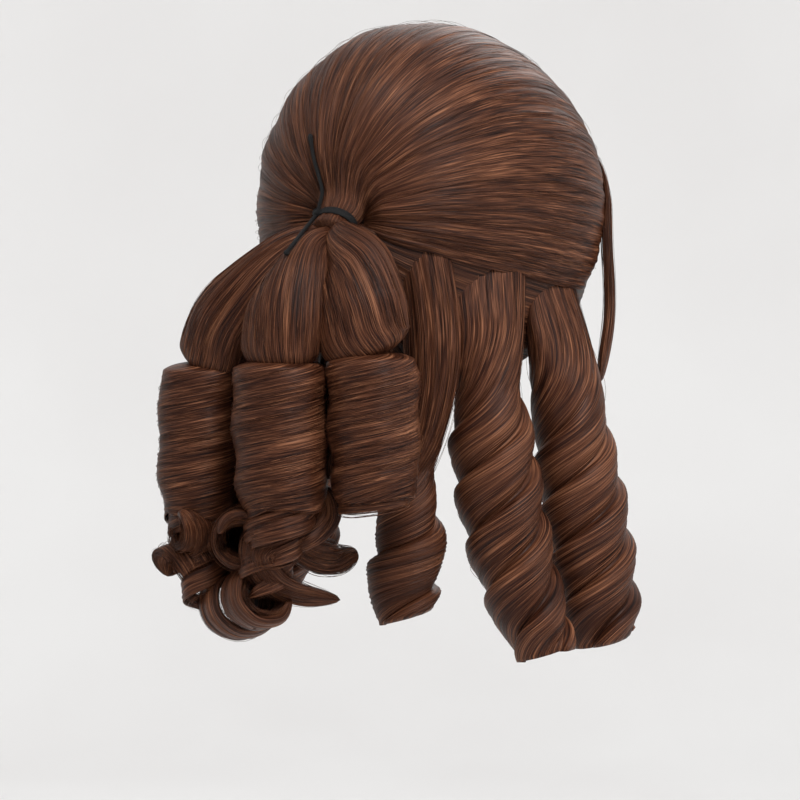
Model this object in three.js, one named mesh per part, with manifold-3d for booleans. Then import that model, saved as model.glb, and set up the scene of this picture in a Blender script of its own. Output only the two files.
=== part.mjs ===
// A cosplay wig in millimetres, +Z up, with the wearer facing -Y and their left on +X.
// The hair is swept back over a fitted cap to an elastic behind the head, falls from there in
// three swags and three barrel curls, and hangs round the neck in ringlets. The origin is the
// point inside the cap where the top of the head bears.

import * as THREE from "three";
import { mergeVertices } from "three/addons/utils/BufferGeometryUtils.js";
import Module from "manifold-3d";

const wasm = await Module();
wasm.setup();
const { Manifold, Mesh } = wasm;

// The head that the cap is made for
const headWidth = 154; // ear to ear, inside the cap
const headLength = 196; // brow to back, inside the cap
const crownRise = 93; // from the widest level up to the top of the head
const napeFall = 112; // lower half height of the head's egg form
const crownSetBack = 11; // how far the top of the head lies behind its middle
const gatherRise = 4; // degrees that the elastic sits above the head's widest level

// The cap, and the hair that lies on it
const capWall = 1.2;
const clearance = 0.4; // between pieces that touch
const seatGap = 1.2; // under the hair that lies on the cap, at its facets' corners
const crownHairDepth = 9.5; // swept-back hair at the sides and the back
const crownHairLift = 2.5; // more of it over the top of the head
const crownFurrow = 0.9; // depth of the furrows that run to the elastic
const napeHairDepth = 5;
const napeStart = 9; // degrees from the gather
const napeOverhang = 4; // nape hair past the edge of the cap
const underSweptGap = 1; // between the nape hair and the swept hair's lower edge

// The gathered neck of hair, and the elastic round it
const neckDiameter = 22;
const neckLength = 20;
const neckPitch = 48; // degrees that it points below the horizontal
const bandWidth = 3.2;
const bandThickness = 1.5;
const knotDiameter = 5.4;
const tailDiameter = 1.9;
const upperTailLength = 27;
const lowerTailLength = 23;

// The ponytail: swags, barrel curls below them, and loose end curls
const ponytailSpread = 100; // measure of the ponytail's tables
const swagGirth = 50;
const swagFurrowDepth = 2.4;
const barrelHeight = 70;
const barrelDiameter = 48;
const barrelBore = 30;
const barrelBoreDepth = 40;
const barrelRidgeDepth = 0.8;
const endCurlGirth = 22; // width of the ribbons that the end curls are wound from
const endCurlThickness = 8;
const endCurlTurnHeight = 24; // from one turn of such a ribbon to the next

// Ringlets
const ringletLength = 200;
const ringletDiameter = 49;
const ringletBore = 27;
const ringletBoreDepth = 45;
const ringletGroove = 2.6;
const ringletLocks = 3; // locks wound side by side in a ringlet
const lockSpacing = 27; // down the ringlet, from one groove to the next
const shortRinglet = 188;
const shortRingletDiameter = 39;
const shortLockSpacing = 33;
const faceStrandGirth = 22;

const hairColour = 0x4d2c21;
const capColour = 0x241611;
const bandColour = 0x161414;

const degrees = THREE.MathUtils.degToRad;
const capSides = 26;
const capRows = 11; // odd, so that the cap's edge has a row on either skin
const poleReach = 6; // degrees from the gather to the first row of the cap
const neckReach = 5; // degrees from the gather to the swept hair's first row
const largeRadius = (headWidth + headLength) / 4;
const acrossHead = new THREE.Vector3(1, 0, 0);

// Where the cap ends, as an angle from the gather behind the head. Rise is the angle round the head
// above ear level: 90 is the middle of the brow and -90 the middle of the nape.
const capEdge = [
  { rise: -90, reach: 47 },
  { rise: -60, reach: 59 },
  { rise: -35, reach: 82 },
  { rise: -20, reach: 104 },
  { rise: 0, reach: 112 },
  { rise: 30, reach: 128 },
  { rise: 60, reach: 142 },
  { rise: 90, reach: 146 },
];

// How far the lower edge of the swept-back hair dips below ear level, in degrees, by its reach.
const sweptEdge = [
  { reach: 0, dip: 30 },
  { reach: 15, dip: 28 },
  { reach: 30, dip: 23 },
  { reach: 60, dip: 21 },
  { reach: 90, dip: 22 },
  { reach: 115, dip: 23 },
];

// Linear reading of one column of a table at a value of its key column.
function readTable(rows, key, column, at) {
  const next = rows.findIndex((row) => row[key] >= at);
  if (next <= 0) return next === 0 ? rows[0][column] : rows.at(-1)[column];
  const low = rows[next - 1];
  const high = rows[next];
  return THREE.MathUtils.mapLinear(at, low[key], high[key], low[column], high[column]);
}

// The point that lies a given depth over the head. Reach is the angle from the gather behind the
// head, and round the angle about the line from there through the head.
function overHead(reach, round, depth) {
  const level = Math.sin(reach);
  const way = new THREE.Vector3(level * Math.cos(round), Math.cos(reach), level * Math.sin(round));
  way.applyAxisAngle(acrossHead, degrees(gatherRise));
  const half = new THREE.Vector3(
    headWidth / 2 + depth,
    headLength / 2 + depth,
    (way.z > 0 ? crownRise : napeFall) + depth,
  );
  const point = way.clone().divideScalar(way.clone().divide(half).length());
  point.y += (crownSetBack * Math.max(point.z, 0)) / half.z;
  point.z -= crownRise;
  return point;
}

const riseOf = (round) => THREE.MathUtils.radToDeg(Math.asin(Math.sin(round)));
const capReach = (round) => degrees(readTable(capEdge, "rise", "reach", riseOf(round)));
const sweptDip = (reach) =>
  degrees(readTable(sweptEdge, "reach", "dip", THREE.MathUtils.radToDeg(reach)));

// Solids

function solidOf(geometry) {
  const bare = new THREE.BufferGeometry();
  bare.setAttribute("position", geometry.attributes.position);
  bare.setIndex(geometry.index);
  const merged = mergeVertices(bare, 1e-3);
  const solid = new Manifold(
    new Mesh({
      numProp: 3,
      vertProperties: merged.attributes.position.array,
      triVerts: new Uint32Array(merged.index.array),
    }),
  );
  if (solid.volume() > 0) return solid;
  const turned = merged.index.array.slice();
  for (let i = 0; i < turned.length; i += 3) [turned[i], turned[i + 1]] = [turned[i + 1], turned[i]];
  merged.setIndex(new THREE.BufferAttribute(turned, 1));
  return solidOf(merged);
}

function moveEach(geometry, place) {
  const points = geometry.attributes.position;
  const point = new THREE.Vector3();
  for (let i = 0; i < points.count; i++) {
    const moved = place(point.fromBufferAttribute(points, i));
    points.setXYZ(i, moved.x, moved.y, moved.z);
  }
  return solidOf(geometry);
}

// A cylinder bent by place(along, turn, rim): along runs from 0 to 1 down it, turn is the angle
// round it, and rim is 0 on its middle line and 1 on its skin.
function bentCylinder(sides, steps, place) {
  const straight = new THREE.CylinderGeometry(1, 1, 1, sides, steps);
  return moveEach(straight, (p) => place(0.5 - p.y, Math.atan2(p.x, p.z), Math.hypot(p.x, p.z)));
}

// A slab bent by place(across, along, out), each of which runs from 0 to 1.
function bentSlab(acrossSteps, alongSteps, place) {
  const flat = new THREE.BoxGeometry(1, 1, 1, acrossSteps, alongSteps, 1);
  return moveEach(flat, (p) => place(p.x + 0.5, p.y + 0.5, p.z + 0.5));
}

// The largest body of a solid, so that a cut leaves no crumbs.
function mainBody(solid) {
  return solid.decompose().reduce((best, body) => (body.volume() > best.volume() ? body : best));
}

// A lock of hair swept along a spline. Each row of its table holds the middle point and the full
// width and depth there, and twist from 0 to 1. Width lies along the head, and depth away from it.
function lock({ rows, grow = 0, sides = 12, steps = 14, relief = () => 0, away = outFromHead }) {
  const path = new THREE.CatmullRomCurve3(rows.map((row) => row.at));
  const girth = new THREE.CatmullRomCurve3(
    rows.map((row) => new THREE.Vector3(row.wide, row.deep, row.twist ?? 0)),
  );
  return bentCylinder(sides, steps, (along, turn, rim) => {
    const middle = path.getPoint(along);
    const tangent = path.getTangent(along);
    const { x: wide, y: deep, z: twist } = girth.getPoint(along);
    const deepWay = away(middle, along);
    deepWay.addScaledVector(tangent, -deepWay.dot(tangent)).normalize();
    const wideWay = new THREE.Vector3().crossVectors(tangent, deepWay);
    const raised = rim * (1 + (twist * relief(along, turn)) / deep);
    middle.addScaledVector(tangent, grow * (2 * along - 1));
    middle.addScaledVector(wideWay, Math.cos(turn) * (wide / 2 + grow) * raised);
    return middle.addScaledVector(deepWay, Math.sin(turn) * (deep / 2 + grow) * raised);
  });
}

const outFromHead = (point) => new THREE.Vector3(point.x, point.y, 0).normalize();

// Cap: an open bowl, made as one skin that runs from its back pole out over the edge and back in.

function capBody(grow = 0) {
  return bentCylinder(capSides, capRows, (along, turn, rim) => {
    const depth = along < 0.5 ? capWall + grow : -grow;
    const edge = capReach(turn) + grow / largeRadius;
    const share = ((1 - Math.abs(2 * along - 1)) * capRows) / (capRows - 1);
    return overHead(rim * THREE.MathUtils.lerp(degrees(poleReach), edge, share), turn, depth);
  });
}

// Swept-back hair: a thick skin over the cap from the brow and temples to the elastic.

const neckWay = new THREE.Vector3(0, Math.cos(degrees(neckPitch)), -Math.sin(degrees(neckPitch)));
const neckRoot = overHead(0, 0, capWall + clearance);
const neckAt = (share) => neckRoot.clone().addScaledVector(neckWay, share * neckLength);

// It is thinner along its lower edges and at the brow, and thicker at the gather. All but the
// reach and the count are shares of its width, length and depth.
const lowerEdge = { width: 0.05, depth: 0.66 };
const browEdge = { start: 0.86, depth: 0.28 };
const gatherSwell = { depth: 0.3, reach: degrees(9) };
const crownFurrows = 9;

function sweptDepth(across, along, reach, round) {
  const inside = Math.min(Math.min(across, 1 - across) / lowerEdge.width, 1);
  const side = THREE.MathUtils.lerp(lowerEdge.depth, 1, inside);
  const atBrow = THREE.MathUtils.smoothstep(along, browEdge.start, 1);
  const brow = THREE.MathUtils.lerp(1, browEdge.depth, atBrow);
  const gather = 1 + gatherSwell.depth * Math.exp(-reach / gatherSwell.reach);
  const top = crownHairLift * Math.max(0, Math.sin(round)) * Math.sin(reach);
  const furrow = crownFurrow * Math.cos(2 * Math.PI * crownFurrows * across) * (1 - along);
  return (crownHairDepth + top) * side * brow * gather + furrow;
}

// The point that lies a given distance over the swept hair.
function overSwept(reach, round, off) {
  const dip = sweptDip(reach);
  const across = (round + dip) / (Math.PI + 2 * dip);
  const first = degrees(neckReach);
  const along = Math.max(0, (reach - first) / (capReach(round) - first));
  return overHead(reach, round, capWall + seatGap + sweptDepth(across, along, reach, round) + off);
}

function sweptSkin(grow = 0) {
  const spare = grow / largeRadius;
  return bentSlab(30, 11, (across, along, out) => {
    const last = capReach(across * Math.PI) + spare;
    const reach = THREE.MathUtils.lerp(degrees(neckReach) - spare, last, along);
    const dip = sweptDip(reach);
    const round = THREE.MathUtils.lerp(-dip - spare, Math.PI + dip + spare, across);
    const skin = capWall + seatGap + sweptDepth(across, along, reach, round) + grow;
    return overHead(reach, round, out > 0.5 ? skin : capWall + seatGap - grow);
  });
}

function neckOfHair(grow = 0) {
  const rows = [
    { at: neckAt(-0.2), wide: 1.7, deep: 1.5 },
    { at: neckAt(0.2), wide: 1.3, deep: 1.15 },
    { at: neckAt(0.6), wide: 1, deep: 0.9 },
    { at: neckAt(1), wide: 1.25, deep: 1.1 },
  ].map((row) => ({ at: row.at, wide: row.wide * neckDiameter, deep: row.deep * neckDiameter }));
  return lock({ rows, grow, sides: 12, steps: 6, away: () => new THREE.Vector3(0, 0, 1) });
}

function crownHair(grow = 0) {
  const neck = neckOfHair(grow).subtract(capBody(grow > 0 ? 0 : clearance));
  return sweptSkin(grow).add(mainBody(neck));
}

// Nape hair: a thin skin over the lower back of the cap, from ear to ear under the swept hair.

function napeHair(grow = 0) {
  const spare = grow / largeRadius;
  const gap = underSweptGap / largeRadius;
  return bentSlab(13, 10, (across, along, out) => {
    const last = capReach(Math.PI * (1 + across)) + napeOverhang / largeRadius + spare;
    const reach = THREE.MathUtils.lerp(degrees(napeStart) - spare, last, along);
    const edge = sweptDip(reach) + (gap - spare) / Math.sin(reach);
    const round = THREE.MathUtils.lerp(Math.PI + edge, 2 * Math.PI - edge, across);
    const rounding = 1 - 0.5 * THREE.MathUtils.smoothstep(along, 0.8, 1);
    const skin = capWall + seatGap + napeHairDepth * rounding + grow;
    return overHead(reach, round, out > 0.5 ? skin : capWall + seatGap - grow);
  });
}

// Elastic: a flat band round the neck of hair, with a knot and two cut tails. One tail lies up the
// swept hair, the other down the ponytail.

const bandShare = 0.6; // along the neck, where it is thinnest
const bandSquash = 0.9; // depth of the neck there, as a share of its width
const bandInner = neckDiameter / 2 + clearance;
const upperTailRound = 72; // degrees round the head, from the wearer's left
const knotTurn = 28; // degrees round the band, from the wearer's left
const lowerTailWay = new THREE.Vector3(0.1, 0.62, -0.78);

function onBand(turn, radius) {
  const upWay = new THREE.Vector3(0, -neckWay.z, neckWay.y);
  const point = neckAt(bandShare).addScaledVector(upWay, Math.sin(turn) * radius * bandSquash);
  point.x += Math.cos(turn) * radius;
  return point;
}

function bandRing(radius, width) {
  return bentCylinder(14, 1, (along, turn, rim) =>
    onBand(turn, rim * radius).addScaledVector(neckWay, (along - 0.5) * width),
  );
}

function tail(points, grow) {
  const rows = points.map((at) => ({ at, wide: tailDiameter, deep: tailDiameter }));
  return lock({ rows, grow, sides: 4, steps: 5, away: () => new THREE.Vector3(0.3, 1, 0.1) });
}

function hairElastic(grow = 0) {
  const outer = bandRing(bandInner + bandThickness + grow, bandWidth + 2 * grow);
  const band = outer.subtract(bandRing(bandInner - grow, 3 * bandWidth));
  const knot = onBand(degrees(knotTurn), bandInner + bandThickness);
  const lump = new THREE.SphereGeometry(knotDiameter / 2 + grow, 7, 5);
  const laid = clearance + tailDiameter;
  const upper = [0.45, 0.75, 1].map((share) =>
    overSwept((share * upperTailLength) / largeRadius, degrees(upperTailRound), laid),
  );
  const lower = [0.5, 1].map((share) =>
    knot.clone().addScaledVector(lowerTailWay, share * lowerTailLength),
  );
  return band
    .add(moveEach(lump, (point) => point.add(knot)))
    .add(tail([knot, ...upper], grow))
    .add(tail([knot, ...lower], grow));
}

// Ponytail. Places in its tables are shares of ponytailSpread from the end of the neck of hair: left
// is the wearer's left, back is away from the head and drop is down. Wide and deep are shares of
// the girth.

const fromNeck = ({ left, back, drop }) =>
  new THREE.Vector3(left, back, -drop).multiplyScalar(ponytailSpread).add(neckAt(1));

const swags = {
  swag_left: [
    { left: 0.05, back: -0.02, drop: 0, wide: 0.22, deep: 0.26 },
    { left: 0.15, back: 0.08, drop: 0.06, wide: 0.42, deep: 0.38 },
    { left: 0.3, back: 0.19, drop: 0.24, wide: 0.66, deep: 0.54 },
    { left: 0.44, back: 0.23, drop: 0.41, wide: 0.8, deep: 0.6 },
    { left: 0.52, back: 0.22, drop: 0.55, wide: 0.8, deep: 0.62 },
    { left: 0.59, back: 0.22, drop: 0.66, wide: 0.62, deep: 0.54 },
  ],
  swag_middle: [
    { left: 0, back: 0, drop: 0.02, wide: 0.22, deep: 0.26 },
    { left: 0.01, back: 0.12, drop: 0.07, wide: 0.44, deep: 0.38 },
    { left: 0, back: 0.26, drop: 0.23, wide: 0.74, deep: 0.54 },
    { left: 0.01, back: 0.33, drop: 0.4, wide: 0.86, deep: 0.62 },
    { left: 0.03, back: 0.35, drop: 0.54, wide: 0.84, deep: 0.62 },
    { left: 0.04, back: 0.34, drop: 0.63, wide: 0.62, deep: 0.52 },
  ],
  swag_right: [
    { left: -0.05, back: -0.02, drop: 0, wide: 0.22, deep: 0.26 },
    { left: -0.12, back: 0.06, drop: 0.04, wide: 0.46, deep: 0.38 },
    { left: -0.28, back: 0.14, drop: 0.16, wide: 0.8, deep: 0.54 },
    { left: -0.34, back: 0.18, drop: 0.32, wide: 0.92, deep: 0.64 },
    { left: -0.36, back: 0.19, drop: 0.48, wide: 0.94, deep: 0.64 },
    { left: -0.39, back: 0.16, drop: 0.59, wide: 0.68, deep: 0.52 },
  ],
};

const swagFurrow = (along, turn) => (swagFurrowDepth * (Math.cos(5 * turn) - 1)) / 2;

function girthRows(rows, girth, place) {
  return rows.map((row) => ({
    at: place(row),
    wide: row.wide * girth,
    deep: row.deep * girth,
    twist: row.twist ?? 1,
  }));
}

function swag(name) {
  const rows = girthRows(swags[name], swagGirth, fromNeck);
  return (grow) => lock({ rows, grow, sides: 12, steps: 8, relief: swagFurrow });
}

// Barrel curls hang from the last rows of their swags, size as shares of barrelDiameter and long of
// barrelHeight. Lean is how far the foot lies to the left and back, as a share of the height.
const barrels = {
  barrel_left: { above: "swag_left", size: 0.95, long: 1.04, leanLeft: 0.02, leanBack: 0.02 },
  barrel_middle: { above: "swag_middle", size: 1, long: 1, leanLeft: -0.02, leanBack: 0 },
  barrel_right: { above: "swag_right", size: 0.93, long: 1, leanLeft: -0.02, leanBack: 0 },
};
const barrelShape = [
  { along: -0.02, wide: 0.7, deep: 0.66, twist: 0 },
  { along: 0.1, wide: 0.97, deep: 0.92, twist: 1 },
  { along: 0.5, wide: 1, deep: 0.96, twist: 1 },
  { along: 0.85, wide: 0.95, deep: 0.92, twist: 1 },
  { along: 1, wide: 0.84, deep: 0.8, twist: 1 },
];

const barrelRidge = (along, turn) => barrelRidgeDepth * Math.cos(8 * Math.PI * along + turn);

function alongBarrel(name, along) {
  const { above, long, leanLeft, leanBack } = barrels[name];
  const way = new THREE.Vector3(leanLeft, leanBack, -1);
  return fromNeck(swags[above].at(-1)).addScaledVector(way, along * long * barrelHeight);
}

function barrel(name) {
  const { size, long } = barrels[name];
  const rows = girthRows(barrelShape, size * barrelDiameter, (row) => alongBarrel(name, row.along));
  const inner = 1 - barrelBoreDepth / (long * barrelHeight);
  const bore = girthRows(
    [
      { along: inner, wide: 0.8, deep: 0.76 },
      { along: 1.1, wide: 1, deep: 0.95 },
    ],
    barrelBore,
    (row) => alongBarrel(name, row.along),
  );
  return (grow) => {
    const body = lock({ rows, grow, sides: 12, steps: 7, relief: barrelRidge });
    return grow > 0 ? body : body.subtract(lock({ rows: bore, sides: 8, steps: 1 }));
  };
}

// Loose end curls are flat ribbons below the barrel curls. Left, back and drop, as shares of
// ponytailSpread from the end of the neck, place a coil's middle or a wave's points. A coil is wound
// along its axis, and radius is a share of the ribbon's width.
const endCoils = {
  end_curl_ring: { left: 0.27, back: 0.26, drop: 1.82, turns: 1.7, radius: 0.7, start: 100 },
  end_curl_left: { left: 0.59, back: 0.25, drop: 1.63, turns: 1.4, radius: 0.44, start: 80 },
  end_curl_loop: { left: 0.56, back: 0.32, drop: 1.47, turns: 1.1, radius: 0.42, start: 60 },
  end_curl_swirl: { left: 0.26, back: 0.34, drop: 1.5, turns: 1.3, radius: 0.62, start: 60 },
};
const coilAxes = {
  end_curl_ring: new THREE.Vector3(-0.82, 0.5, 0.24),
  end_curl_left: new THREE.Vector3(0.68, 0.7, -0.2),
  end_curl_loop: new THREE.Vector3(0.15, 0.91, 0.1),
  end_curl_swirl: new THREE.Vector3(-0.5, 0.84, 0.1),
};
const endWaves = {
  end_curl_wave: [
    { left: -0.07, back: 0.17, drop: 1.24, wide: 0.8, deep: 1 },
    { left: -0.11, back: 0.18, drop: 1.36, wide: 1, deep: 1.1 },
    { left: -0.05, back: 0.28, drop: 1.43, wide: 1.1, deep: 1.2 },
    { left: 0.05, back: 0.41, drop: 1.47, wide: 1, deep: 1.1 },
    { left: 0.1, back: 0.45, drop: 1.56, wide: 0.9, deep: 1 },
    { left: 0.07, back: 0.39, drop: 1.68, wide: 0.8, deep: 1 },
    { left: 0.01, back: 0.25, drop: 1.77, wide: 0.6, deep: 0.8 },
    { left: -0.11, back: 0.01, drop: 1.82, wide: 0.35, deep: 0.6 },
  ],
  end_curl_tip: [
    { left: 0.02, back: 0.26, drop: 1.52, wide: 0.7, deep: 1 },
    { left: -0.07, back: 0.14, drop: 1.59, wide: 0.8, deep: 1.1 },
    { left: -0.12, back: 0.04, drop: 1.61, wide: 0.6, deep: 0.9 },
    { left: -0.17, back: -0.06, drop: 1.58, wide: 0.35, deep: 0.6 },
  ],
};

function endCoil(name) {
  const { turns, radius, start, ...place } = endCoils[name];
  const middle = fromNeck(place);
  const line = coilAxes[name].clone().normalize();
  const level = new THREE.Vector3(0, 0, 1).cross(line).normalize();
  const upright = line.clone().cross(level);
  const stepsRound = 12;
  const rows = Array.from({ length: stepsRound + 1 }, (_, i) => {
    const share = i / stepsRound;
    const angle = degrees(start) + share * turns * 2 * Math.PI;
    const out = radius * endCurlGirth * (1.08 - 0.22 * share);
    const at = middle.clone().addScaledVector(line, (share - 0.5) * turns * endCurlTurnHeight);
    at.addScaledVector(level, Math.cos(angle) * out).addScaledVector(upright, Math.sin(angle) * out);
    const tip = THREE.MathUtils.clamp(5 * (1 - share) + 0.45, 0.45, 1);
    return { at, wide: endCurlGirth * tip, deep: endCurlThickness };
  });
  const away = (point) => {
    const off = point.clone().sub(middle);
    return off.addScaledVector(line, -off.dot(line));
  };
  return (grow) => lock({ rows, grow, sides: 6, steps: 15, away });
}

function endWave(name) {
  const rows = endWaves[name].map((row) => ({
    at: fromNeck(row),
    wide: row.wide * endCurlGirth,
    deep: row.deep * endCurlThickness,
  }));
  return (grow) => lock({ rows, grow, sides: 6, steps: 14 });
}

// Ringlets. Reach and dip, in degrees, place a root at the edge of the swept hair. In their shape
// wide and deep are shares of the diameter, and twist says how deep the spiral grooves are. The
// foot lies out from the head and back by shares of the length, and bend is how late it moves there.
const ringletShape = [
  { along: 0, wide: 0.82, deep: 0.2, twist: 0 },
  { along: 0.12, wide: 0.94, deep: 0.4, twist: 0 },
  { along: 0.28, wide: 0.94, deep: 0.7, twist: 0.1 },
  { along: 0.42, wide: 0.88, deep: 0.84, twist: 0.7 },
  { along: 0.58, wide: 1, deep: 0.98, twist: 1 },
  { along: 0.74, wide: 1, deep: 1, twist: 1 },
  { along: 0.9, wide: 0.94, deep: 0.94, twist: 1 },
  { along: 1, wide: 0.76, deep: 0.76, twist: 1 },
];
const pinchedShape = [
  { along: 0, wide: 0.82, deep: 0.2, twist: 0 },
  { along: 0.14, wide: 0.86, deep: 0.4, twist: 0 },
  { along: 0.32, wide: 0.68, deep: 0.6, twist: 0.2 },
  { along: 0.44, wide: 0.94, deep: 0.9, twist: 0.9 },
  { along: 0.58, wide: 1, deep: 1, twist: 1 },
  { along: 0.78, wide: 0.98, deep: 0.98, twist: 1 },
  { along: 0.92, wide: 0.86, deep: 0.86, twist: 1 },
  { along: 1, wide: 0.66, deep: 0.66, twist: 1 },
];
const shortShape = [
  { along: 0, wide: 0.74, deep: 0.22, twist: 0 },
  { along: 0.25, wide: 0.74, deep: 0.36, twist: 0 },
  { along: 0.45, wide: 0.62, deep: 0.38, twist: 0 },
  { along: 0.6, wide: 0.5, deep: 0.44, twist: 0 },
  { along: 0.7, wide: 0.8, deep: 0.78, twist: 0.8 },
  { along: 0.82, wide: 1, deep: 0.98, twist: 1 },
  { along: 0.94, wide: 0.96, deep: 0.96, twist: 1 },
  { along: 1, wide: 0.8, deep: 0.8, twist: 1 },
];
const ringlets = {
  ringlet_right_back: { side: -1, reach: 50, out: 0.13, back: -0.06, bend: 3, long: 1 },
  ringlet_right_side: { side: -1, reach: 84, out: 0.1, back: -0.05, bend: 1.2, long: 0.94 },
  ringlet_left_back: { side: 1, reach: 50, out: 0.04, back: -0.06, bend: 3, long: 0.86 },
  ringlet_left_side: { side: 1, reach: 84, out: 0.06, back: -0.05, bend: 1.2, long: 0.8 },
  ringlet_nape: { side: -1, reach: 27, out: -0.04, back: 0.02, bend: 2, long: 1 },
};
const ringletShapes = {
  ringlet_right_back: pinchedShape,
  ringlet_right_side: ringletShape,
  ringlet_left_back: pinchedShape,
  ringlet_left_side: ringletShape,
  ringlet_nape: shortShape,
};

function ringlet(name) {
  const { side, reach, out, back, bend, long } = ringlets[name];
  const shape = ringletShapes[name];
  const short = shape === shortShape;
  const length = long * (short ? shortRinglet : ringletLength);
  const across = short ? shortRingletDiameter : ringletDiameter;
  const locks = short ? 1 : ringletLocks;
  const spacing = short ? shortLockSpacing : lockSpacing;
  const dip = sweptDip(degrees(reach)) - degrees(2);
  const rootDepth = capWall + clearance + (shape[0].deep * across) / 2;
  const root = overHead(degrees(reach), side > 0 ? -dip : Math.PI + dip, rootDepth);
  const place = ({ along }) => {
    const bent = Math.pow(along, bend);
    const way = new THREE.Vector3(side * out * bent, back * bent, -along);
    return root.clone().addScaledVector(way, length);
  };
  const relief = (along, turn) => {
    const phase = (locks * turn) / (2 * Math.PI) + (along * length) / spacing;
    return 2 * ringletGroove * (Math.sqrt(Math.abs(Math.sin(phase * Math.PI))) - 0.75);
  };
  const rows = girthRows(shape, across, place);
  const boreRows = [
    { along: 1 - ringletBoreDepth / length, wide: 0.8, deep: 0.8 },
    { along: 1.04, wide: 1, deep: 1 },
  ];
  const bore = girthRows(boreRows, (ringletBore * across) / ringletDiameter, place);
  return (grow) => {
    const body = lock({ rows, grow, sides: 12, steps: short ? 15 : 18, relief });
    return grow > 0 ? body : body.subtract(lock({ rows: bore, sides: 8, steps: 1 }));
  };
}

// Face strands: a thin lock from the middle of the brow that bows out past each temple.
// Out and front are shares of faceStrandGirth away from the swept hair.
const faceStrand = [
  { rise: 74, reach: 149, off: 0.3, wide: 0.7, deep: 0.22 },
  { rise: 48, reach: 141, off: 0.36, wide: 0.9, deep: 0.26 },
  { rise: 20, reach: 127, off: 0.42, wide: 1, deep: 0.3 },
  { rise: -4, reach: 113, off: 0.5, wide: 0.95, deep: 0.32 },
  { rise: -26, reach: 105, off: 1, wide: 0.8, deep: 0.34 },
  { rise: -42, reach: 100, off: 1.5, wide: 0.62, deep: 0.34 },
];

function faceLock(side) {
  const rows = faceStrand.map(({ rise, reach, off, wide, deep }) => {
    const round = side > 0 ? degrees(rise) : Math.PI - degrees(rise);
    const depth = capWall + clearance + off * faceStrandGirth;
    return {
      at: overHead(degrees(reach), round, depth),
      wide: wide * faceStrandGirth,
      deep: deep * faceStrandGirth,
    };
  });
  const middle = new THREE.Vector3(0, 0, -crownRise);
  const away = (point) => point.clone().sub(middle);
  return (grow) => lock({ rows, grow, sides: 6, steps: 11, away });
}

// Assembly: each piece is cut clear of those before it, by the clearance. A seated piece is shaped
// over the cap, which comes first, and needs no cut by it.

const hair = new THREE.MeshStandardMaterial({ color: hairColour, roughness: 0.5, metalness: 0 });
const net = new THREE.MeshStandardMaterial({ color: capColour, roughness: 0.9, metalness: 0 });
const rubber = new THREE.MeshStandardMaterial({ color: bandColour, roughness: 0.6, metalness: 0 });

const pieces = [
  { name: "wig_cap", material: net, shape: capBody },
  { name: "crown_hair", material: hair, shape: crownHair, seated: true },
  { name: "hair_elastic", material: rubber, shape: hairElastic },
  ...Object.keys(swags).map((name) => ({ name, material: hair, shape: swag(name) })),
  ...Object.keys(barrels).map((name) => ({ name, material: hair, shape: barrel(name) })),
  ...Object.keys(endCoils).map((name) => ({ name, material: hair, shape: endCoil(name) })),
  ...Object.keys(endWaves).map((name) => ({ name, material: hair, shape: endWave(name) })),
  { name: "nape_hair", material: hair, shape: napeHair, seated: true },
  ...Object.keys(ringlets).map((name) => ({ name, material: hair, shape: ringlet(name) })),
  { name: "face_strand_right", material: hair, shape: faceLock(-1) },
  { name: "face_strand_left", material: hair, shape: faceLock(1) },
];

function meshOf(name, solid, material) {
  const { vertProperties, triVerts } = solid.getMesh();
  const geometry = new THREE.BufferGeometry();
  geometry.setAttribute("position", new THREE.BufferAttribute(vertProperties, 3));
  geometry.setIndex(new THREE.BufferAttribute(triVerts, 1));
  geometry.computeVertexNormals();
  const mesh = new THREE.Mesh(geometry, material);
  mesh.name = name;
  return mesh;
}

const wig = new THREE.Group();
wig.name = "wig";
const placed = [];
for (const { name, material, shape, seated } of pieces) {
  const others = seated ? placed.slice(1) : placed;
  const clear = others.reduce((solid, other) => solid.subtract(other), shape(0));
  wig.add(meshOf(name, mainBody(clear), material));
  placed.push(shape(clearance));
}

export default wig;
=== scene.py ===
# %% [markdown]
# # A brown wig with a ponytail of barrel curls
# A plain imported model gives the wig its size: a fitted cap, hair swept back to an elastic, three
# swags with a barrel curl under each, loose end curls, and ringlets round the neck. This lesson
# dresses that model. Everything is in metres, the wearer looks along -Y, their left is +X, and the
# point where the top of the head bears is the origin.

import math

import bpy
import numpy as np
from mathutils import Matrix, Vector


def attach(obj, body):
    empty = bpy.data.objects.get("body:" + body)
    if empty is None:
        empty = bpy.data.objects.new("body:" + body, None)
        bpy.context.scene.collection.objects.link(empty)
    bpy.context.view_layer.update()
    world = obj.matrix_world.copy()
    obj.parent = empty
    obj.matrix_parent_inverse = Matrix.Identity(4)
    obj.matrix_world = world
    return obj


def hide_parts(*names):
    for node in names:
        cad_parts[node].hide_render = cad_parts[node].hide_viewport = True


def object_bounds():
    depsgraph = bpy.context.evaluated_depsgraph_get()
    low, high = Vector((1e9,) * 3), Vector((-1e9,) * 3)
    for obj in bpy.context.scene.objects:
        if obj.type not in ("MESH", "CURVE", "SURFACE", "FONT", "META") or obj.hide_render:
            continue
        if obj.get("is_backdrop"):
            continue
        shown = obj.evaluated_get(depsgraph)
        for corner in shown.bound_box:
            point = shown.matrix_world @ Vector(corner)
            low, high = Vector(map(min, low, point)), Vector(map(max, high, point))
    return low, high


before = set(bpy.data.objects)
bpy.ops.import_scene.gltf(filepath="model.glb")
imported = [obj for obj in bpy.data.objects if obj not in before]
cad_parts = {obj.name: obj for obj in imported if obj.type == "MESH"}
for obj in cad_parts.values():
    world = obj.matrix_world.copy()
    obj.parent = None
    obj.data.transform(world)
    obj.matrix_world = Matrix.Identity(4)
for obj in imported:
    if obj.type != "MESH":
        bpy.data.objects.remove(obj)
cad_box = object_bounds()
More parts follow.
